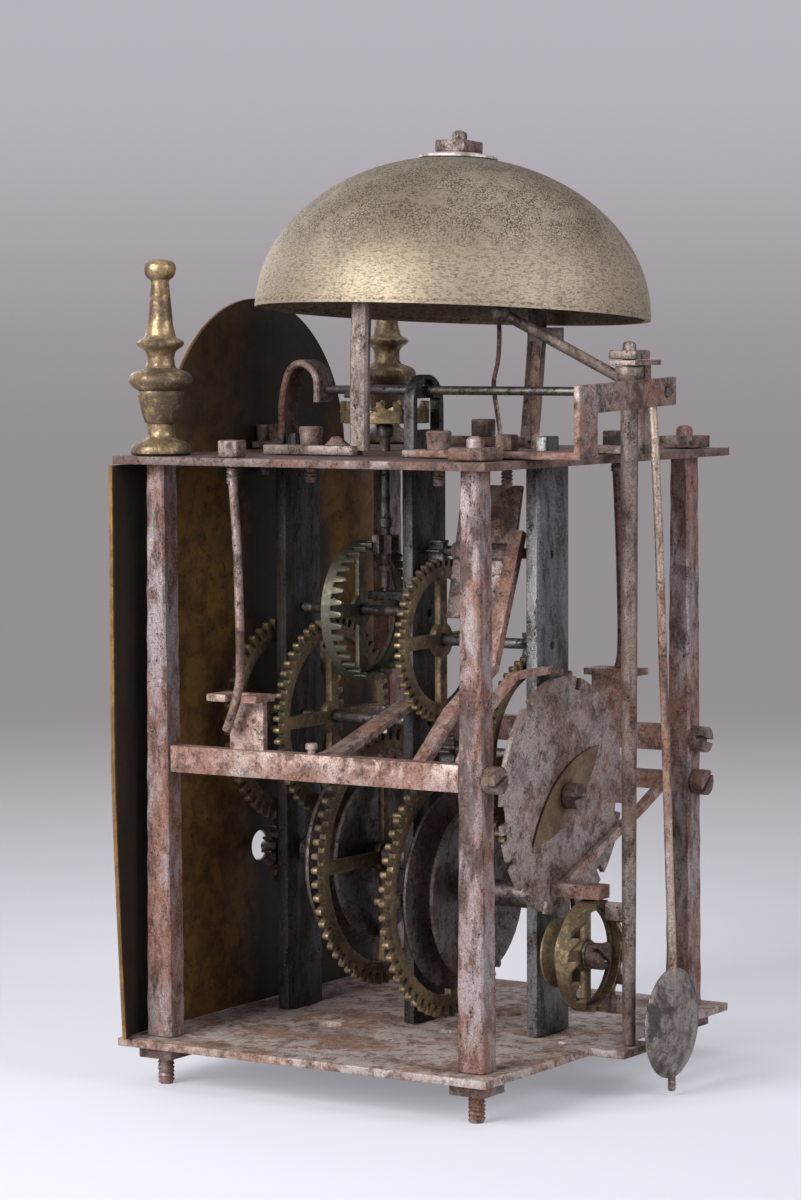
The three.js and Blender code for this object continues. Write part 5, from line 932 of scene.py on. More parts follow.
def crossing(quarter, outer, inner, arm):
    """The outline of one opening between two arms."""
    points = []
    for radius, order in ((outer, 1), (inner, -1)):
        inset = math.asin(arm / 2 / radius)
        steps = 14 if radius == outer else 6
        for k in range(steps + 1):
            share = k / steps if order > 0 else 1 - k / steps
            turn = quarter * math.pi / 2 + inset + share * (math.pi / 2 - 2 * inset)
            points.append((radius * math.cos(turn), radius * math.sin(turn)))
    return points


def tooth_outline(root, tip, half_foot, half_top, corner, sunk):
    """A tooth with straight flanks and a rounded tip, its foot sunk in what carries it."""
    outline = [(root - sunk, -half_foot), (root, -half_foot), (tip - corner, -half_top)]
    for k in range(1, 6):
        turn = -math.pi / 2 + k * math.pi / 6
        outline.append((tip - corner + corner * math.cos(turn), half_top * math.sin(turn)))
    return outline + [(tip - corner, half_top), (root, half_foot), (root - sunk, half_foot)]


def wheel_tooth(root, tip, pitch, thickness):
    """A wheel's tooth, lying flat, a little narrower at its top than at its foot."""
    outline = tooth_outline(root, tip, pitch * 0.29, pitch * 0.23, pitch * 0.161, 0.5)
    return sheet("wheel_tooth", [outline], thickness, 0.12)


def crossed_wheel(node, teeth, pitch_radius, bore, y, z, phase=0.0, extra=()):
    """A crossed-out wheel that turns on an axis from front to back, in place of its CAD node."""
    module = 2 * pitch_radius / teeth
    root = pitch_radius - WHEEL_FOOT * module
    arms = [crossing(q, root - RIM_WIDTH, HUB_RADIUS + 0.4, ARM_WIDTH) for q in range(4)]
    blank = sheet(node, [ring_of(root, 2 * teeth), ring_of(bore, 32), *arms], WHEEL_THICK, 0.25)
    tooth = wheel_tooth(root, pitch_radius + WHEEL_TIP * module, math.pi * module, WHEEL_THICK - 0.1)
    tooth.transform(at(0, 0, 0.05))
    mesh = toothed(node, blank, tooth, teeth, phase, wheel_brass)
    mesh.transform(along_y(0, y - WHEEL_THICK / 2, z))
    return in_place(joined(node, mesh, *extra), node, "_cut", wheel_brass, "aged_brass")


def pinion(name, leaves, pitch_radius, length, finish, phase):
    """A pinion about the Z axis, from 0 up: a round core and long rounded leaves."""
    module = 2 * pitch_radius / leaves
    pitch = math.pi * module
    root = pitch_radius - 1.3 * module
    core = lathe(name, [(0, 0), (root + 0.05, 0), (root + 0.05, length), (0, length)], 32)
    outline = tooth_outline(
        root, pitch_radius + 0.65 * module, pitch * 0.2, pitch * 0.11, pitch * 0.11, sunk=0.3
    )
    return toothed(name, core, sheet(name + "_leaf", [outline], length, 0.1), leaves, phase, finish)


GREAT_MESH = 44.28
SECOND_MESH = 35.1
THIRD_MESH = 28.494
GREAT_TEETH = 56
SECOND_TEETH = 54
THIRD_TEETH = 48
SEAT_RADIUS = 4.2
ARBOR_RADIUS = 1.7
STRIKE_GREAT_Z = 45.79
GOING_GREAT_Y = -17
GOING_SECOND_Y = -37
STRIKE_GREAT_Y = 8
STRIKE_SECOND_Y = 39.6
STRIKE_THIRD_Y = 4.6
GOING_SECOND_Z = GOING_GREAT_Z + GREAT_MESH
CONTRATE_Z = GOING_SECOND_Z + SECOND_MESH
STRIKE_SECOND_Z = STRIKE_GREAT_Z + GREAT_MESH
STRIKE_THIRD_Z = STRIKE_SECOND_Z + SECOND_MESH
FLY_Z = STRIKE_THIRD_Z + THIRD_MESH
great_radius = GREAT_MESH * GREAT_TEETH / (GREAT_TEETH + LEAVES)
second_radius = SECOND_MESH * SECOND_TEETH / (SECOND_TEETH + LEAVES)
third_radius = THIRD_MESH * THIRD_TEETH / (THIRD_TEETH + LEAVES)
half_pitch = math.pi / SECOND_TEETH
great_size = (GREAT_TEETH, great_radius, SEAT_RADIUS + 0.1)
crossed_wheel("going_great_wheel", *great_size, GOING_GREAT_Y, GOING_GREAT_Z)
second_size = (SECOND_TEETH, second_radius, ARBOR_BORE)
crossed_wheel("going_second_wheel", *second_size, GOING_SECOND_Y, GOING_SECOND_Z, half_pitch)
crossed_wheel("strike_second_wheel", *second_size, STRIKE_SECOND_Y, STRIKE_SECOND_Z, half_pitch)
third_size = (THIRD_TEETH, third_radius, ARBOR_BORE)
crossed_wheel("strike_third_wheel", *third_size, STRIKE_THIRD_Y, STRIKE_THIRD_Z)

# The strike's great wheel has eight pins riveted into its rim, which lift the hammer's tail.
PINS = 8
PIN_CIRCLE = great_radius - 3.5
pins = []
for k in range(PINS):
    turn = k / PINS * 2 * math.pi
    pin = lathe("lifting_pin", [(0, 0), (0.85, 0), (1.1, 0.3), (1.1, 5), (0, 5)], 16)
    pin.transform(along_y(PIN_CIRCLE * math.cos(turn), 2.85, STRIKE_GREAT_Z + PIN_CIRCLE * math.sin(turn)))
    pins.append(pin)
crossed_wheel("strike_great_wheel", *great_size, STRIKE_GREAT_Y, STRIKE_GREAT_Z, extra=pins)


def arbor(node, profile, z, finish, slot, *extra):
    """A turned arbor along the Y axis, from (radius, y) pairs, with pinions and the like joined to it."""
    shaft = lathe(node, profile, 40)
    shaft.transform(along_y(0, 0, z))
    return in_place(joined(node, shaft, *extra), node, "_turned", finish, slot)


def plain_arbor(node, ends, z, pinion_from, pinion_radius):
    """An arbor between two bars, with its pivots, one shallow ring near its front and a six-leaved pinion."""
    front, rear = ends
    leaf = pinion(node, LEAVES, pinion_radius, 5.5, arbor_steel, math.pi / 2 + math.pi / LEAVES)
    leaf.transform(along_y(0, pinion_from, z))
    thin = ARBOR_RADIUS * 0.88
    profile = [
        (0, front - 2.8), (0.8, front - 2.8), (PIVOT_RADIUS, front - 2.6), (PIVOT_RADIUS, front),
        (ARBOR_RADIUS, front + 0.4), (ARBOR_RADIUS, front + 3), (thin, front + 3.4), (thin, front + 4),
        (ARBOR_RADIUS, front + 4.4), (ARBOR_RADIUS, rear - 3), (ARBOR_RADIUS, rear - 0.4),
        (PIVOT_RADIUS, rear), (PIVOT_RADIUS, rear + 2.6), (0.8, rear + 2.8), (0, rear + 2.8),
    ]
    arbor(node, profile, z, arbor_steel, "worn_steel", leaf)


PIVOT_RADIUS = 0.95
GOING_ENDS = (-47.8, -3.8)
STRIKE_ENDS = (0.6, 41.6)
great_leaf = GREAT_MESH * LEAVES / (GREAT_TEETH + LEAVES)
second_leaf = SECOND_MESH * LEAVES / (SECOND_TEETH + LEAVES)
third_leaf = THIRD_MESH * LEAVES / (THIRD_TEETH + LEAVES)
plain_arbor("going_second_arbor", GOING_ENDS, GOING_SECOND_Z, -19.75, great_leaf)
plain_arbor("contrate_arbor", GOING_ENDS, CONTRATE_Z, -39.75, second_leaf)
plain_arbor("strike_second_arbor", STRIKE_ENDS, STRIKE_SECOND_Z, 5.25, great_leaf)
plain_arbor("strike_third_arbor", STRIKE_ENDS, STRIKE_THIRD_Z, 35.8, second_leaf)
plain_arbor("fly_arbor", STRIKE_ENDS, FLY_Z, 0.9, third_leaf)

# Great arbors: each carries a dished iron rope pulley behind or before its wheel. The going one runs out
# through the front bar to the report pinion, and the strike one through the rear bar to the count pinion.
pulley_iron = iron_finish(
    "pulley_iron", (0.1, 0.052, 0.038), (0.15, 0.13, 0.125), (0.008, 0.006, 0.006), 0.45, 0.55, 0.75
)


def pulley_profile(radius, start, end):
    """Radius and y pairs of a rope pulley: a flange with a rolled lip, a groove, and a smaller flange."""
    groove = radius - 13.5
    lip = radius - 3.5
    width = end - start
    shares = [
        (SEAT_RADIUS, 0.0), (radius - 8, 0.02), (radius - 5, 0.0), (radius - 1, 0.0), (radius - 0.2, 0.03),
        (radius, 0.09), (radius - 0.3, 0.16), (groove + 6.5, 0.3), (groove + 1.2, 0.44), (groove, 0.54),
        (groove + 1.2, 0.64), (lip - 2.4, 0.84), (lip - 0.3, 0.88), (lip, 0.94), (lip - 0.6, 1.0),
        (lip - 3, 0.95), (lip - 9, 0.78), (SEAT_RADIUS + 3, 0.72), (SEAT_RADIUS, 0.74),
    ]
    return [(r, start + share * width) for r, share in shares]


GOING_PULLEY_RADIUS = 30
STRIKE_PULLEY_RADIUS = 32
HOUR_MESH = 43.02
HOUR_TEETH = 48
REPORT_TEETH = 16
COUNT_MESH = 32.4
COUNT_TEETH = 39
COUNT_LEAVES = 4
report_radius = HOUR_MESH * REPORT_TEETH / (HOUR_TEETH + REPORT_TEETH)
report = pinion("report_pinion", REPORT_TEETH, report_radius, 3.8, pulley_iron, 0.0)
report.transform(along_y(0, -57.4, GOING_GREAT_Z))
going_profile = [(0, -64.5), (1.5, -64.5), (1.7, -64.2), (1.7, -47.8), (SEAT_RADIUS, -47.4)]
going_profile += pulley_profile(GOING_PULLEY_RADIUS, -28.45, -18.45)
going_profile += [(SEAT_RADIUS, -4.4), (SEAT_RADIUS - 0.6, -3.8), (PIVOT_RADIUS, -3.8)]
going_profile += [(PIVOT_RADIUS, -0.2), (0, 0)]
arbor("going_great_arbor", going_profile, GOING_GREAT_Z, pulley_iron, "dark_iron", report)
count_leaf = COUNT_MESH * COUNT_LEAVES / (COUNT_TEETH + COUNT_LEAVES)
count_pinion = pinion("count_pinion", COUNT_LEAVES, count_leaf, 1.7, pulley_iron, 0.0)
count_pinion.transform(along_y(0, 46.0, STRIKE_GREAT_Z))
strike_profile = [(0, -3.2), (PIVOT_RADIUS, -3.2), (PIVOT_RADIUS, 0.6), (SEAT_RADIUS - 0.6, 0.6)]
strike_profile += [(SEAT_RADIUS, 1.2)] + pulley_profile(STRIKE_PULLEY_RADIUS, 9.45, 18.6)
strike_profile += [(SEAT_RADIUS, 41.2), (SEAT_RADIUS - 0.8, 41.6), (3.2, 41.6), (3.2, 45.7)]
strike_profile += [(1, 45.7), (1, 47.6), (0, 47.7)]
arbor("strike_great_arbor", strike_profile, STRIKE_GREAT_Z, pulley_iron, "dark_iron", count_pinion)

# Contrate wheel: a brass band on four arms with its teeth cut in the rear edge. It hands the drive on to the
# upright arbor of the crown wheel, and has gone grey-green.
green_brass = brass_finish(
    "green_brass", (0.19, 0.17, 0.115), (0.09, 0.088, 0.066), (0.016, 0.016, 0.013), 0.5, 0.2
)


def band_tooth(radius, root, tip, pitch, thickness, lean):
    """A tooth that stands on the edge of a band, drawn across the rim and given the band's thickness."""
    half = pitch * 0.3
    if lean:
        outline = [
            (-half * 1.1, root - 0.4), (-half * 1.25, tip - 0.2), (-half * 0.75, tip),
            (-half * 0.2, tip - 0.9), (half * 0.45, root + 0.7), (half * 1.4, root),
            (half * 1.5, root - 0.4),
        ]
    else:
        outline = [(-half, root - 0.4), (-half, root), (-half * 0.6, tip - 0.5), (-half * 0.3, tip)]
        outline += [(-x, y) for x, y in reversed(outline)]
    mesh = sheet("band_tooth", [outline], thickness, 0.1)
    mesh.transform(at(radius, 0, 0) @ spun(90, "Z") @ spun(90, "X"))
    return mesh


def closed_turning(name, profile, sides):
    """A turned ring or shell whose profile ends where it begins, so that it needs no flat ends."""
    mesh = lathe(name, profile, sides)
    work = bmesh.new()
    work.from_mesh(mesh)
    bmesh.ops.delete(work, geom=[f for f in work.faces if len(f.verts) > 4], context="FACES_ONLY")
    bmesh.ops.remove_doubles(work, verts=work.verts, dist=0.001 * MM)
    bmesh.ops.recalc_face_normals(work, faces=work.faces)
    work.to_mesh(mesh)
    work.free()
    return mesh


def band_wheel(name, teeth, outer, root, tip, bore, finish, lean, phase=0.0):
    """A band with teeth on its upper edge, standing on four arms, about the Z axis."""
    inner = outer - BAND_WALL
    wall_outline = [
        (inner, 0), (outer - 0.2, 0), (outer, 0.2), (outer, root - 0.2), (outer - 0.2, root),
        (inner + 0.2, root), (inner, root - 0.2), (inner, 0),
    ]
    band = closed_turning(name, wall_outline, 96)
    arms = [crossing(q, inner - 0.8, HUB_RADIUS, ARM_WIDTH) for q in range(4)]
    spider = sheet(name, [ring_of((inner + outer) / 2, 72), ring_of(bore, 32), *arms], BAND_ARM_THICK, 0.2)
    tooth = band_tooth(inner + 0.05, root, tip, 2 * math.pi * outer / teeth, BAND_WALL - 0.1, lean)
    return toothed(name, joined(name, band, spider), tooth, teeth, phase, finish)


BAND_WALL = 1.7
BAND_ARM_THICK = 1.6
CONTRATE_RADIUS = 22.4
CONTRATE_TEETH = 36
contrate_size = (CONTRATE_TEETH, CONTRATE_RADIUS, 3.6, 7.75, ARBOR_BORE)
contrate = band_wheel("contrate_wheel", *contrate_size, green_brass, lean=False)
contrate.transform(along_y(0, -26.6, CONTRATE_Z))
in_place(contrate, "contrate_wheel", "_cut", green_brass, "green_brass")

# Crown wheel: a small brass wheel lying flat above the top plate, with fifteen pointed teeth that the verge's
# pallets catch in turn. Its iron arbor stands on the potence below and has a collet under the wheel.
CROWN_Y = -16.3
CROWN_Z = 194
CROWN_TEETH = 15
CROWN_RADIUS = 14.2
crown_size = (CROWN_TEETH, CROWN_RADIUS, 4.0, 7.0, ARBOR_BORE)
crown = band_wheel("crown_wheel", *crown_size, wheel_brass, lean=True, phase=math.pi / CROWN_TEETH / 2)
crown.transform(at(0, CROWN_Y, CROWN_Z))
in_place(crown, "crown_wheel", "_cut", wheel_brass, "aged_brass")
crown_leaf = (CONTRATE_RADIUS - BAND_WALL / 2) * LEAVES / CONTRATE_TEETH
crown_pinion = pinion("crown_pinion", LEAVES, crown_leaf, 6.0, arbor_steel, 0.0)
crown_pinion.transform(at(0, CROWN_Y, 152.2))
crown_profile = [
    (0, 138.2), (0.95, 138.4), (0.95, 141.2), (1.7, 141.4), (1.7, 146.2), (2.6, 146.5), (2.8, 147.2),
    (2.8, 148.2), (2.2, 148.8), (1.7, 149), (1.7, 160.4), (2.3, 160.8), (2.3, 163.4), (1.7, 163.8),
    (1.7, 189.5), (2.5, 189.6), (2.7, 190.2), (2.7, 193), (2.4, 193.6), (1.7, 193.7), (1.7, 197.5),
    (1.2, 198), (0, 198),
]
crown_shaft = lathe("crown_arbor", crown_profile, 32, at(0, CROWN_Y, 0))
crown_shaft = joined("crown_arbor", crown_shaft, crown_pinion)
in_place(crown_shaft, "crown_arbor", "_turned", arbor_steel, "worn_steel")

# Hour wheel: a brass wheel that the report pinion drives. It turns on a stud of the front bar, and its brass
# pipe comes through the dial to carry the hand.
hour_radius = HOUR_MESH * HOUR_TEETH / (HOUR_TEETH + REPORT_TEETH)
hour_phase = math.pi / 2 - math.pi / HOUR_TEETH
pipe_profile = [
    (2.95, -73.0), (3.6, -73.0), (3.8, -72.8), (3.8, -70.8), (4.4, -70.8), (4.4, -57.3), (6.6, -57.1),
    (6.6, -56.7), (4.4, -54.3), (4.4, -53.2), (2.95, -53.2),
]
pipe = lathe("hour_pipe", pipe_profile, 40)
pipe.transform(along_y(0, 0, HOUR_Z))
crossed_wheel("hour_wheel", HOUR_TEETH, hour_radius, 4.2, -55.5, HOUR_Z, hour_phase, extra=[pipe])

# Verge and its cocks: a thin steel arbor lies over the crown wheel and rocks with the pendulum. It turns in a
# curled iron cock in front and in a long stepped iron strap behind, both bolted to the top plate.


def box_mesh(name, low, high):
    """A plain box between two corners, in millimetres."""
    work = bmesh.new()
    bmesh.ops.create_cube(work, size=1.0)
    for vert in work.verts:
        vert.co = Vector((low[k] + (vert.co[k] + 0.5) * (high[k] - low[k])) * MM for k in range(3))
    return solid_from(work, name)


VERGE_Z = 204.5
verge_profile = [(0, -42.3), (1.2, -42.3), (1.4, -42.0), (1.4, 87.0), (1.2, 87.3), (0, 87.3)]
verge_shaft = lathe("verge", verge_profile, 32)
verge_shaft.transform(along_y(0, 0, VERGE_Z))
pallets = []
for end in (-1, 1):
    pallet = box_mesh("pallet", (-0.5, -1.95, -3.2), (0.5, 1.95, 0))
    pallet.transform(at(0, CROWN_Y + end * 12.2, VERGE_Z) @ spun(end * 45, "Y"))
    pallets.append(eased(pallet, "pallet", 0.15 * MM))
in_place(joined("verge", verge_shaft, *pallets), "verge", "_filed", arbor_steel, "worn_steel")


def smooth_line(points, steps):
    """A smooth line through the points, in millimetres."""
    ends = [points[0]] + list(points) + [points[-1]]
    line = []
    for k in range(1, len(ends) - 2):
        p0, p1, p2, p3 = (Vector(ends[k + i]) for i in (-1, 0, 1, 2))
        for step in range(steps):
            t = step / steps
            curve = (2 * p0 - 5 * p1 + 4 * p2 - p3) * t**2 + (3 * p1 - p0 - 3 * p2 + p3) * t**3
            line.append(0.5 * ((2 * p1) + (p2 - p0) * t + curve))
    line.append(Vector(points[-1]))
    return line


def drawn(name, points, section, steps=8, wide=(1, 0, 0)):
    """A bar of a given section along a smooth line. The section's first axis lies along wide."""
    line = smooth_line(points, steps)
    wide = Vector(wide)
    rings = []
    for k, spot in enumerate(line):
        along = (line[min(k + 1, len(line) - 1)] - line[max(k - 1, 0)]).normalized()
        across = (wide - along * wide.dot(along)).normalized()
        up = along.cross(across)
        rings.append([spot + across * a + up * b for a, b in section])
    return skinned(name, rings)


WIRE_SIDES = 20
cock_iron = iron_finish("cock_iron", (0.19, 0.095, 0.066), (0.26, 0.2, 0.185), (0.02, 0.014, 0.012), 0.5)
front_points = [
    (0, -64.9, 186.45), (0, -60, 186.45), (0, -55.4, 186.6), (0, -54.1, 187.8), (0, -53.6, 192),
    (0, -53.5, 200.5), (0, -51, 209.8), (0, -46.5, 213), (0, -42, 211), (0, -40, 207.5), (0, -40, 200.5),
]
front_cock = drawn("front_cock", front_points, strap_section(9, 2.3))
in_place(front_cock, "front_cock", "_forged", cock_iron, "dark_iron")
dressed("rear_cock", cock_iron, "rusty_iron", 0.45 * MM)

# Pendulum: an iron rod with an eye riveted on the verge's end, a little bent, and a lens-shaped bob that is
# screwed onto its threaded tail.
ROD_TOP_Y = 80.7
ROD_FOOT_Y = 88.1
ALONG_ROD = (1.0, 1.0, 0.4)
rod_iron = iron_finish(
    "rod_iron", (0.22, 0.115, 0.08), (0.36, 0.29, 0.24), (0.025, 0.018, 0.015), 0.5, 1.0, 0.45, ALONG_ROD
)
BOB_TOP_Z = 27.1
ROD_HEAD_Z = 206
rod_points = []
for share in (0.0, 0.12, 0.25, 0.37, 0.5, 0.62, 0.75, 0.87, 1.0):
    wander = 0.12 * math.sin(share * 17)
    spot_y = ROD_TOP_Y + (ROD_FOOT_Y - ROD_TOP_Y) * share**0.8
    rod_points.append((wander, spot_y, ROD_HEAD_Z + (BOB_TOP_Z + 4 - ROD_HEAD_Z) * share))
rod_points += [(0, ROD_FOOT_Y, BOB_TOP_Z), (0, ROD_FOOT_Y, -4)]
rod = drawn("pendulum_rod", rod_points, ring_of(1.35, WIRE_SIDES), 6)
eye = lathe("pendulum_eye", [(1.5, 0), (2.9, 0), (3.2, 0.4), (3.2, 4.2), (2.9, 4.6), (1.5, 4.6)], 32)
eye.transform(along_y(0, ROD_TOP_Y - 2.3, VERGE_Z))
tail = threaded("pendulum_tail", 1.4, 7.2, 0.9, rod_iron)
tail.transform(at(0, ROD_FOOT_Y, -11.3))
in_place(joined("pendulum_rod", rod, eye, tail), "pendulum_rod", "_drawn", rod_iron, "rusty_iron")
bob_metal = iron_finish("bob_metal", (0.15, 0.12, 0.1), (0.25, 0.22, 0.2), (0.035, 0.03, 0.027), 0.5, 1.1)
BOB_RADIUS = 17.2
BOB_EDGE = 0.28
BOB_BULGE = 3.5
BOB_SHARES = (0.0, 0.2, 0.4, 0.55, 0.7, 0.82, 0.91, 0.97)
front_half = [(share * BOB_RADIUS, BOB_BULGE * (share**2 - 1) - BOB_EDGE) for share in BOB_SHARES]
front_half.append((BOB_RADIUS - 0.12, -0.2))
bob = lathe("pendulum_bob", front_half + [(r, -y) for r, y in reversed(front_half)], 72)
bob.transform(along_y(0, ROD_FOOT_Y, 9.9))
in_place(bob, "pendulum_bob", "_cast", bob_metal, "worn_steel")

# Fly: a thin iron vane that beats the air and slows the striking. It is cut from sheet, and the tube along
# its middle grips the arbor, so that it can slip when the strike stops.
dressed("fly_vane", cock_iron, "rusty_iron", 0.2 * MM)

# Count wheel: an iron disc whose gaps let the strike's lever drop after one blow, two blows and so on to
# twelve. A gear behind it is driven by a pinion of four; a brass leaf spring and a slotted screw hold it.
count_iron = iron_finish(
    "count_iron", (0.2, 0.12, 0.095), (0.33, 0.275, 0.255), (0.022, 0.016, 0.014), 0.5, 0.7
)
COUNT_Z = 78.19
COUNT_RADIUS = 37.6
COUNT_FLOOR = 33.6
DISC_FRONT_Y = 48.0
BLOWS = 78


def edge_of(radius, begin, end, steps):
    """A stretch of the count wheel's edge at one radius, from one blow to another."""
    turns = [(begin + (end - begin) * k / steps) * 2 * math.pi / BLOWS for k in range(steps + 1)]
    return [(radius * math.cos(turn), radius * math.sin(turn)) for turn in turns]


# Each hour has a gap one blow long, where the lever drops in, and a raised part for the blows that follow.
GAP_START = -0.15
GAP_END = 0.85
count_outline = []
told = 0
for hour in range(1, 13):
    count_outline += edge_of(COUNT_FLOOR, told + GAP_START, told + GAP_END, 3)
    if hour > 1:
        count_outline += edge_of(COUNT_RADIUS, told + GAP_END, told + hour + GAP_START, 2 * (hour - 1))
    told += hour
SCREW_HOLE = ring_of(2.75, 24)
disc = sheet("count_disc", [count_outline, SCREW_HOLE], 1.8, 0.2)
disc.transform(along_y(0, DISC_FRONT_Y, COUNT_Z))
gear_radius = COUNT_MESH * COUNT_TEETH / (COUNT_TEETH + COUNT_LEAVES)
gear_module = 2 * gear_radius / COUNT_TEETH
gear_root = gear_radius - WHEEL_FOOT * gear_module
gear_blank = sheet("count_gear", [ring_of(gear_root, 78), ring_of(gear_radius - 7.2, 64)], 1.8, 0.15)
gear_tooth = wheel_tooth(gear_root, gear_radius + WHEEL_TIP * gear_module, math.pi * gear_module, 1.6)
gear_phase = math.pi / 2 + math.pi / COUNT_TEETH
gear = toothed("count_gear", gear_blank, gear_tooth, COUNT_TEETH, gear_phase, count_iron)
gear.transform(along_y(0, 46.05, COUNT_Z))
in_place(joined("count_wheel", disc, gear), "count_wheel", "_filed", count_iron, "rusty_iron")

SPRING_LENGTH = 50
SPRING_WIDTH = 15
SPRING_TWIST = 34
spring_outline = []
for side in (1, -1):
    for k in range(24):
        share = k / 24
        x = SPRING_LENGTH * (share - 0.5) * side
        spring_outline.append((x, -side * SPRING_WIDTH * 2 * share * (1 - share)))
leaf_spring = sheet("count_spring", [spring_outline, SCREW_HOLE], 0.7, 0.1)
leaf_spring.transform(along_y(0, 50.15, COUNT_Z) @ spun(SPRING_TWIST, "Z"))
spring_brass = brass_finish(
    "spring_brass", (0.25, 0.165, 0.1), (0.12, 0.078, 0.05), (0.02, 0.014, 0.01), 0.5, 0.1
)
finished(leaf_spring, "count_spring_cut", "frame", spring_brass, "aged_brass", "count_wheel_spring")

# Slotted screws: turned iron screws with a saw cut across the head. Three are pivots for the side arbors,
# through the rear posts, and two hold the count wheel and the alarm wheel to the rear bar.
screw_group, tree, given, screw_keys = new_geometry_tree(
    "slotted_screw",
    {
        "Head Radius": "Float",
        "Head Height": "Float",
        "Slot Width": "Float",
        "Slot Depth": "Float",
        "Shank Radius": "Float",
        "Shank Length": "Float",
        "Material": "Material",
    },
)


def round_bar(sides, radius, length):
    """A cylinder of the screw's tree, its middle at the origin."""
    sockets = {"Vertices": sides, "Side Segments": 1, "Radius": radius, "Depth": length}
    return tree.node("GeometryNodeMeshCylinder", None, sockets)[0]


def raised(shape, height):
    """A part of the screw's tree, moved up."""
    shift = tree.node("ShaderNodeCombineXYZ", None, {"Z": height})
    return tree.node("GeometryNodeTransform", None, {"Geometry": shape, "Translation": shift[0]})[0]


head = raised(round_bar(40, given["Head Radius"], given["Head Height"]), given["Head Height"] * 0.5)
saw_sizes = {"X": given["Head Radius"] * 3.0, "Y": given["Slot Width"], "Z": given["Slot Depth"] * 2.0}
saw = tree.node("ShaderNodeCombineXYZ", None, saw_sizes)
blade = raised(tree.node("GeometryNodeMeshCube", None, {"Size": saw[0]})[0], given["Head Height"])
sawn = tree.node("GeometryNodeMeshBoolean", {"operation": "DIFFERENCE"}, {"Mesh 1": head, "Mesh 2": blade})
shank = raised(round_bar(32, given["Shank Radius"], given["Shank Length"]), given["Shank Length"] * -0.5)
ended(tree, (sawn[0], shank), given["Material"])

ALARM_X = 5.5
ALARM_Z = 29.5
SIDE_ARBOR_Z = 90.5

# Each screw's place across and up, the radius of its shank, and the turn of its slot in degrees.
SCREWS = {
    "count_wheel_screw": (0, 78.2, 2.4, 4.0),
    "alarm_wheel_screw": (ALARM_X, ALARM_Z, 2.2, -36.0),
    "detent_pivot_screw": (POST_X, SIDE_ARBOR_Z, 2.2, 25.0),
    "hammer_pivot_screw": (-POST_X, SIDE_ARBOR_Z, 2.2, -15.0),
    "alarm_pivot_screw": (-POST_X, 76.5, 2.2, 40.0),
}
HEAD_RADIUS = 4.15
HEAD_HEIGHT = 4.4
SLOT_WIDTH = 1.3
SLOT_DEPTH = 2.3
SHORT_OF_NODE = 2.0
for node, (x, z, shank_radius, twist) in SCREWS.items():
    low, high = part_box(node)
    sizes = {
        "Head Radius": HEAD_RADIUS,
        "Head Height": HEAD_HEIGHT,
        "Slot Width": SLOT_WIDTH,
        "Slot Depth": SLOT_DEPTH,
        "Shank Radius": shank_radius,
        "Shank Length": (high.y - low.y) / MM - HEAD_HEIGHT - SHORT_OF_NODE,
    }
    values = {label: size * MM for label, size in sizes.items()} | {"Material": nut_iron}
    screw = grown(node, bpy.data.meshes.new(node), screw_group, screw_keys, values)
    screw.transform(along_y(x, high.y / MM - HEAD_HEIGHT, z) @ spun(twist, "Z"))
    in_place(eased(screw, node, 0.35 * MM), node, "_turned", nut_iron, "rusty_iron")

# Side arbors: square iron arbors between the posts, with their levers forged and riveted on. One lifts and
# locks the strike, one carries the hammer on a long rod, and one stops the alarm. A small screw with a round
# head stands in the right-hand one, beside the middle bar.
lever_iron = iron_finish(
    "lever_iron", (0.25, 0.125, 0.09), (0.38, 0.295, 0.265), (0.03, 0.02, 0.017), 0.55, 0.65
)
detent_screw = lathe(
    "detent_screw",
    [(0, 0), (1.2, 0), (1.2, 2.0), (1.9, 2.2), (1.9, 3.6), (1.5, 4.0), (0, 4.0)],
    24,
    at(POST_X, -1.6, 94.0),
)
finished(detent_screw, "detent_screw", "detent", lever_iron, "rusty_iron")
for node in ("detent_arbor", "hammer_arbor", "alarm_detent"):
    dressed(node, lever_iron, "rusty_iron", 0.4 * MM)

# Spring rods: two lengths of iron wire that hang from the top plate, each bolted to it by its upper end, and
# press the forked tails of two side arbors.
for side, top_y, fork_y, node in ((1, -26.75, -25.4, "detent_spring"), (-1, 29.0, 29.9, "hammer_spring")):
    x = side * 70.5
    points = [
        (x, top_y, 188.8), (x, top_y, 181), (x, fork_y + 0.4, 154.5), (x, fork_y + 1.2, 122.5),
        (x, fork_y, 112.1), (side * 69.6, fork_y - 2.8, 105.5), (side * 69.3, fork_y - 5, 100.8),
    ]
    in_place(drawn(node, points, ring_of(1.4, WIRE_SIDES)), node, "_drawn", cock_iron, "dark_iron")

# Alarm: a small brass crown wheel with its rope pulley, which rocks an upright iron rod with two pallets. The
# rod's hammer arm reaches up inside the bell. A bracket on the top plate holds the rod's upper end.
ALARM_TEETH = 15
ALARM_RADIUS = 17.5
alarm_size = (ALARM_TEETH, ALARM_RADIUS, 4.4, 7.4, 4.5)
alarm_crown = band_wheel("alarm_wheel", *alarm_size, wheel_brass, lean=True, phase=math.pi / ALARM_TEETH / 2)
alarm_crown.transform(along_y(ALARM_X, 59.8, ALARM_Z))
pulley_shape = [
    (2.6, 50.2), (10.4, 50.2), (11, 50.6), (11, 51.2), (8.3, 52.6), (7.7, 53.6), (8.3, 54.6), (11, 55.8),
    (11, 56.4), (10.4, 56.8), (4.6, 56.8), (4.6, 62.2), (4.3, 62.4), (2.6, 62.4),
]
alarm_pulley = lathe("alarm_pulley", pulley_shape, 48)
alarm_pulley.transform(along_y(ALARM_X, 0, ALARM_Z))
in_place(joined("alarm_wheel", alarm_crown, alarm_pulley), "alarm_wheel", "_cut", wheel_brass, "aged_brass")

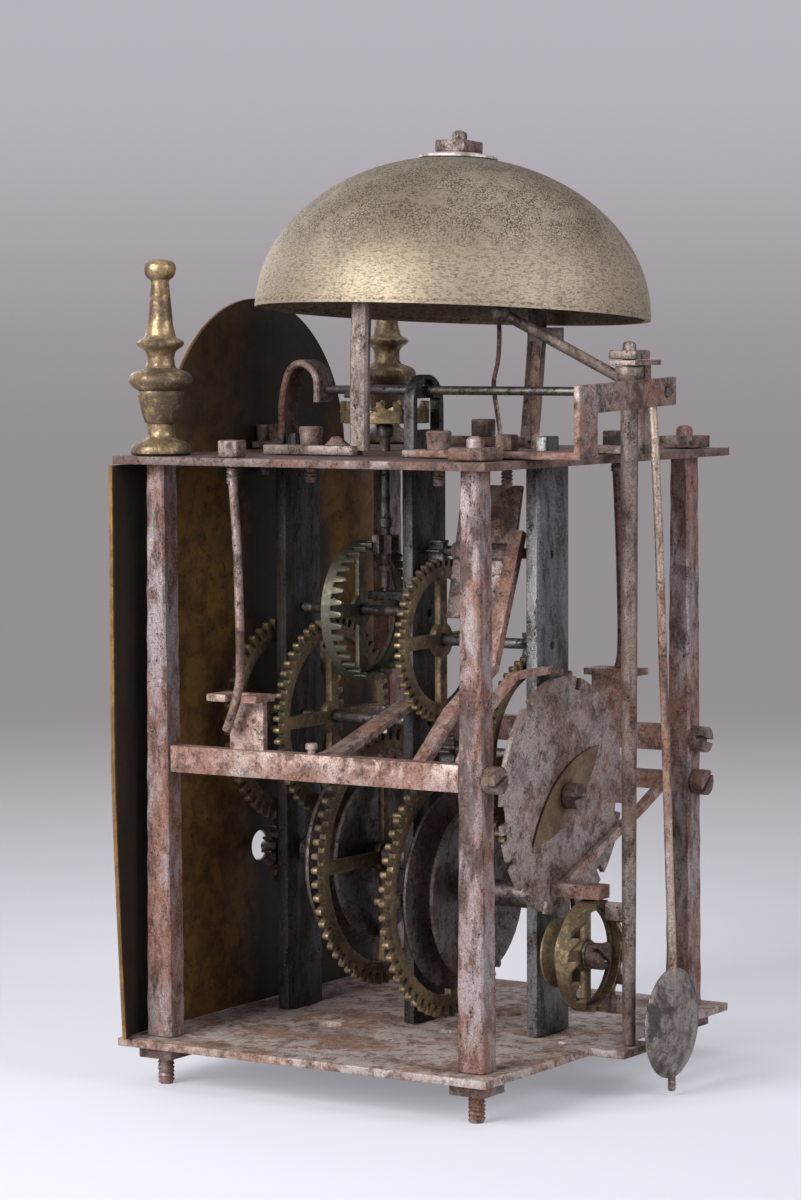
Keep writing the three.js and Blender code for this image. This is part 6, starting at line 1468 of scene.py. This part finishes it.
ROD_Y = 76
alarm_iron = iron_finish(
    "alarm_iron", (0.13, 0.068, 0.047), (0.2, 0.16, 0.14), (0.014, 0.01, 0.009), 0.5, 0.9, 0.45, ALONG_ROD
)
rod_profile = [
    (0, 0.3), (1.2, 0.3), (1.2, 2.8), (2.05, 3.0), (2.1, 20), (2.35, 80), (2.6, 150), (2.8, 206),
    (4.1, 208.6), (4.4, 209), (4.4, 212), (4.1, 212.4), (2.1, 212.4), (2.1, 218.9), (1.6, 219.7),
    (0, 220.1),
]
upright = lathe("alarm_rod", rod_profile, 32, at(ALARM_X, ROD_Y, 0))
cap = eased(box_mesh("alarm_nut", (0.7, 71.2, 214.6), (10.3, 80.8, 217.4)), "alarm_nut", 0.5 * MM)
pallet_pieces = []
for height in (44.0, 15.0):
    low, high = (ALARM_X - 0.5, 67.8, height - 2.9), (ALARM_X + 0.5, ROD_Y, height + 2.9)
    pallet_pieces.append(eased(box_mesh("alarm_pallet", low, high), "alarm_pallet", 0.2 * MM))
HAMMER_SPOT = (25, 42, 229)
HAMMER_RADIUS = 3.1
arm_points = [(ALARM_X, ROD_Y, 207.3), (15.25, 59, 218.15), HAMMER_SPOT]
arm = drawn("alarm_arm", arm_points, ring_of(1.7, WIRE_SIDES), 12, (0, 0, 1))
hammer_shares = [(0, -1), (0.5, -0.86), (0.87, -0.5), (1, 0), (0.87, 0.5), (0.5, 0.86), (0, 1)]
ball = [(r * HAMMER_RADIUS, h * HAMMER_RADIUS) for r, h in hammer_shares]
head = lathe("alarm_hammer", ball, 32, at(*HAMMER_SPOT))
alarm_rod = joined("alarm_verge", upright, cap, arm, head, *pallet_pieces)
finished(alarm_rod, "alarm_rod_forged", "alarm_hammer", alarm_iron, "rusty_iron", "alarm_verge")
dressed("alarm_bracket", cock_iron, "rusty_iron", 0.35 * MM)

# Bell and stand: the bell is cast bronze, turned near its rim, and hangs from a washer and a square nut on
# the stud of an arched iron strap. The arch and the bell hang over to the left, and its feet are bolted down.
STAND_PLACE = (-4.2, 4.6, 185)
STAND_YAW = -1.6
STAND_LEAN = 0.5
STAND_TILT = 3.5
stand_base = at(*STAND_PLACE) @ spun(STAND_YAW, "Z")
leaned_back = stand_base @ spun(-STAND_LEAN, "X")
leaned = leaned_back @ spun(-STAND_TILT, "Y")

# The bell's finish is drawn in the bell's own frame, so its turning marks run round with the rim.
bell_metal, tree, place = new_finish("bell_metal")
shift, turn, _ = leaned.decompose()
settled = tree.node("ShaderNodeMapping", {"vector_type": "TEXTURE"}, {"Vector": place})
settled.node.inputs["Location"].default_value = shift
settled.node.inputs["Rotation"].default_value = turn.to_euler()
height = tree.node("ShaderNodeSeparateXYZ", None, {0: settled[0]})[2]
turned_lit_band = 1.0 - height.within(0.055, 0.072)
shaded_top = height.within(0.078, 0.095)
clouds = tree.noise(settled[0], 22.0, 7.0, 0.62, 0.4)
blotches = tree.noise(settled[0], 120.0, 7.0, 0.7, 0.6)
grain = tree.noise(settled[0], 700.0, 5.0, 0.7)
specks = tree.noise(settled[0], 1700.0, 3.0, 0.65, 0.3)
ringed = tree.node("ShaderNodeMapping", None, {"Vector": settled[0], "Scale": (0.05, 0.05, 1.0)})[0]
rings = tree.noise(ringed, 900.0, 3.0, 0.6)
dashes = tree.node("ShaderNodeMapping", None, {"Vector": settled[0], "Scale": (0.3, 0.3, 1.0)})[0]
scratches = tree.noise(dashes, 1900.0, 4.0, 0.7)
colour = tree.blend((0.25, 0.205, 0.148), (0.37, 0.315, 0.24), clouds.within(0.4, 0.62))
# The band near the rim is lighter, partly its turned metal and partly a painted highlight where the lamps
# catch it; the top is darker as painted shade.
colour = tree.blend(colour, (0.35, 0.29, 0.21), turned_lit_band * 0.7)
colour = tree.blend(colour, (0.14, 0.118, 0.09), shaded_top * 0.75)
colour = tree.blend(colour, (0.11, 0.097, 0.082), blotches.within(0.56, 0.68) * 0.5)
colour = tree.blend(colour, (0.1, 0.08, 0.055), scratches.within(0.5, 0.6) * (0.3 + turned_lit_band * 0.35))
rim_line = height.within(0.0442, 0.0447) * (1.0 - height.within(0.0449, 0.0455))
pitting = specks.within(0.46, 0.56) * blotches.within(0.34, 0.52) * (1.0 - turned_lit_band * 0.75)
pitting = (pitting + rim_line * grain.within(0.46, 0.6) * 0.6).clamped()
colour = tree.blend(colour, (0.04, 0.032, 0.022), pitting * 0.8)
relief = blotches * 0.3 + grain * 0.3 - pitting * 0.5 + rings * turned_lit_band * 0.8
metallic = (0.78 - blotches.within(0.5, 0.7) * 0.3 - shaded_top * 0.15).clamped()
roughness = (0.48 + clouds * 0.1 + grain * 0.12 + pitting * 0.15 + shaded_top * 0.08).clamped()
surfaced(bell_metal, tree, colour, metallic, roughness, relief, depth=0.4 * MM)

BELL_RADIUS = 63.0
BELL_HEIGHT = 49.9
BELL_RIM_Z = 43.6
BELL_WALL = 1.9
BELL_HOLE = 2.8
bell_top = BELL_RIM_Z + BELL_HEIGHT


def bell_curve(inset, steps):
    """Radius and height pairs of one of the bell's walls, from the rim up to the hole."""
    width, rise = BELL_RADIUS - inset, BELL_HEIGHT - inset
    turns = [k / steps * math.pi / 2 for k in range(steps + 1)]
    pairs = [(width * math.cos(turn), BELL_RIM_Z + rise * math.sin(turn)) for turn in turns]
    return [(r, h) for r, h in pairs if r > BELL_HOLE + 0.4] + [(BELL_HOLE, bell_top - inset)]


lip = BELL_RADIUS - BELL_WALL
rim = [(lip, BELL_RIM_Z), (lip + 0.3, BELL_RIM_Z), (BELL_RADIUS - 0.3, BELL_RIM_Z)]
inner_wall = bell_curve(BELL_WALL, 32)
shell = list(reversed(inner_wall[1:])) + rim + bell_curve(0, 40) + [inner_wall[-1]]
bell = closed_turning("bell", shell, 128)
bell.transform(leaned)
in_place(smoothed(bell, 50), "bell", "_turned", bell_metal, "bell_metal")

STAND_HALF_SPAN = 50.0
STAND_WIDTH = 6.5
STAND_THICK = 3.0
arch_top = bell_top - BELL_WALL - 0.3 - STAND_THICK / 2
foot_line = STAND_THICK / 2 + 0.3
arch = [(STAND_HALF_SPAN - 1.0, 0, foot_line)]
for k in range(13):
    turn = k / 12 * math.pi
    x = (STAND_HALF_SPAN + 1) * math.cos(turn)
    z = BELL_RIM_Z + (arch_top - BELL_RIM_Z) * math.sin(turn)
    arch.append(tuple(spun(-STAND_TILT, "Y") @ Vector((x, 0, z))))
arch.append((-STAND_HALF_SPAN + 1.0, 0, foot_line))
for end, beside in ((1, 0), (-1, -1)):
    low_point, high_point = Vector(arch[beside]), Vector(arch[beside + end])
    half_way = low_point.lerp(high_point, 0.5) + Vector((end * 0.5, 0, 0))
    arch.insert(1 if end > 0 else -1, tuple(half_way))
stand_iron = iron_finish(
    "stand_iron",
    (0.14, 0.078, 0.06),
    (0.2, 0.16, 0.145),
    (0.02, 0.015, 0.013),
    rust_share=0.5,
    pit_depth=0.8,
    stretch=(1.0, 1.0, 0.5),
)
strap = drawn("bell_stand", arch, strap_section(STAND_WIDTH, STAND_THICK, 0.8), wide=(0, 1, 0))
strap.transform(leaned_back)
nut_foot = bell_top + 0.3
stud_profile = [(0, arch_top), (2.5, arch_top), (2.5, nut_foot + 6.7), (2.2, nut_foot + 7.4)]
stud_profile += [(1.3, nut_foot + 8.0), (0, nut_foot + 8.2)]
stud = lathe("bell_stud", stud_profile, 32, leaned)
FOOT_LENGTH = 34
feet = []
for middle in (STAND_HALF_SPAN, -STAND_HALF_SPAN):
    low = (middle - STAND_WIDTH / 2, -FOOT_LENGTH, 0.3)
    high = (middle + STAND_WIDTH / 2, 0, 0.3 + STAND_THICK)
    foot = eased(box_mesh("stand_foot", low, high), "stand_foot", 0.5 * MM)
    foot.transform(stand_base)
    feet.append(foot)
in_place(joined("bell_stand", strap, stud, *feet), "bell_stand", "_forged", stand_iron, "rusty_iron")

# Bell's nut: a square iron nut that was filed by hand, on a wide washer, a little coned, of paler metal than
# the bell. The nut screws both down on the stand's stud.
NUT_HALF = 5.6
NUT_THICK = 3.8
WASHER_THICK = 1
washer_metal = iron_finish(
    "washer_metal", (0.34, 0.29, 0.24), (0.52, 0.48, 0.44), (0.1, 0.08, 0.06), 0.4, 0.4, 0.3
)
washer_profile = [(BELL_HOLE, 0), (12.3, -1.1), (12.6, -0.95), (12.6, -0.35), (12.1, 0), (7, 0.85)]
washer_profile += [(BELL_HOLE, 1), (BELL_HOLE, 0)]
washer = closed_turning("bell_washer", washer_profile, 64)
washer.transform(leaned @ at(0, 0, nut_foot))
finished(washer, "bell_washer", "frame", washer_metal, "worn_steel")
nut_low = (-NUT_HALF, -NUT_HALF, nut_foot + WASHER_THICK)
nut_high = (NUT_HALF, NUT_HALF, nut_foot + WASHER_THICK + NUT_THICK)
bell_nut = eased(box_mesh("bell_nut", nut_low, nut_high), "bell_nut", 0.5 * MM)
bell_nut.transform(leaned)
in_place(bell_nut, "bell_nut", "_filed", nut_iron, "rusty_iron")

# Bolts: short iron bolts, filed square or turned round, that hold the cocks, the bell's stand and the spring
# rods on the top plate. Each goes down through the plate and shows the end of its thread below.
BOLT_FOOT_Z = 176.6
PLATE_UNDER_Z = 182.5

# Each bolt's x and y, the height it sits at, its width and rise, whether it is square, and its turn.
BOLTS = {
    "stand_bolt_right": (44.6, -15.0, 188.4, 7.6, 5.6, False, 0.0),
    "stand_bolt_left": (-54.6, -12.4, 188.4, 6.4, 5.6, True, 8.0),
    "cock_bolt_inner": (48.5, 34.0, 187.7, 8.0, 5.6, False, 0.0),
    "cock_bolt_outer": (48.5, 58.0, 187.7, 5.4, 4.8, True, 6.0),
    "spring_bolt_right": (70.5, -26.75, 185.1, 6.6, 5.2, True, 5.0),
    "spring_bolt_left": (-70.5, 29.0, 185.1, 6.6, 5.2, True, -7.0),
    "front_cock_bolt_near": (0.0, -57.9, 187.7, 5.8, 5.4, False, 30.0),
    "front_cock_bolt_far": (0.0, -63.2, 187.7, 5.4, 5.2, False, 65.0),
}
for name, (x, y, base, width, rise, square, twist) in BOLTS.items():
    half = width / 2
    if square:
        bolt_head = eased(box_mesh(name, (-half, -half, 0), (half, half, rise)), name, 0.55 * MM)
    else:
        bolt_profile = [(0, 0), (half * 0.86, 0), (half * 0.92, rise * 0.5), (half, rise - 0.6)]
        bolt_head = lathe(name, bolt_profile + [(half - 0.5, rise), (0, rise)], 28)
    bolt_head.transform(at(0, 0, base) @ spun(twist, "Z"))
    shank = threaded(name, 1.9, PLATE_UNDER_Z - BOLT_FOOT_Z, 1.15, nut_iron)
    shank.transform(at(0, 0, BOLT_FOOT_Z))
    neck = lathe(name, [(0, PLATE_UNDER_Z), (1.6, PLATE_UNDER_Z), (1.6, base), (0, base)], 20)
    bolt = joined(name, bolt_head, shank, neck)
    bolt.transform(at(x, y, 0))
    finished(bolt, name, "frame", nut_iron, "rusty_iron")

# Stop wire: a thin iron wire, bent by hand, that stands in a hole of the top plate. Its upper end reaches
# just inside the bell's rim.
stop_points = [
    (-30, 8.7, 184), (-30, 8.7, 190), (-30.4, 7.4, 197), (-29.6, 6.6, 206), (-30.2, 7.9, 214),
    (-30, 8.5, 222), (-30, 8.2, 229),
]
stop_wire = drawn("stop_wire", stop_points, ring_of(0.75, 12))
finished(stop_wire, "stop_wire", "frame", cock_iron, "dark_iron")

# Loose washer: a small three-cornered iron washer, cupped like a hat, with a hole in its top. It is fixed to
# nothing, and lies on the right foot of the stand.
hat_rings = [(3.9, 0.0), (3.3, 0.5), (2.2, 1.6), (1.3, 2.5), (1.0, 2.7)]
hat = closed_turning("loose_washer", hat_rings + [(0.8, 2.3), (2.6, 0.3), (3.9, 0.0)], 36)
for vert in hat.vertices:
    turn = math.atan2(vert.co.y, vert.co.x)
    pull = 1.0 + 0.16 * math.cos(3 * turn + 0.4)
    vert.co.x *= pull
    vert.co.y *= pull
hat.transform(at(45, -5.4, 188.35))
finished(hat, "loose_washer", "frame", cock_iron, "rusty_iron")

low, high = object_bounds()
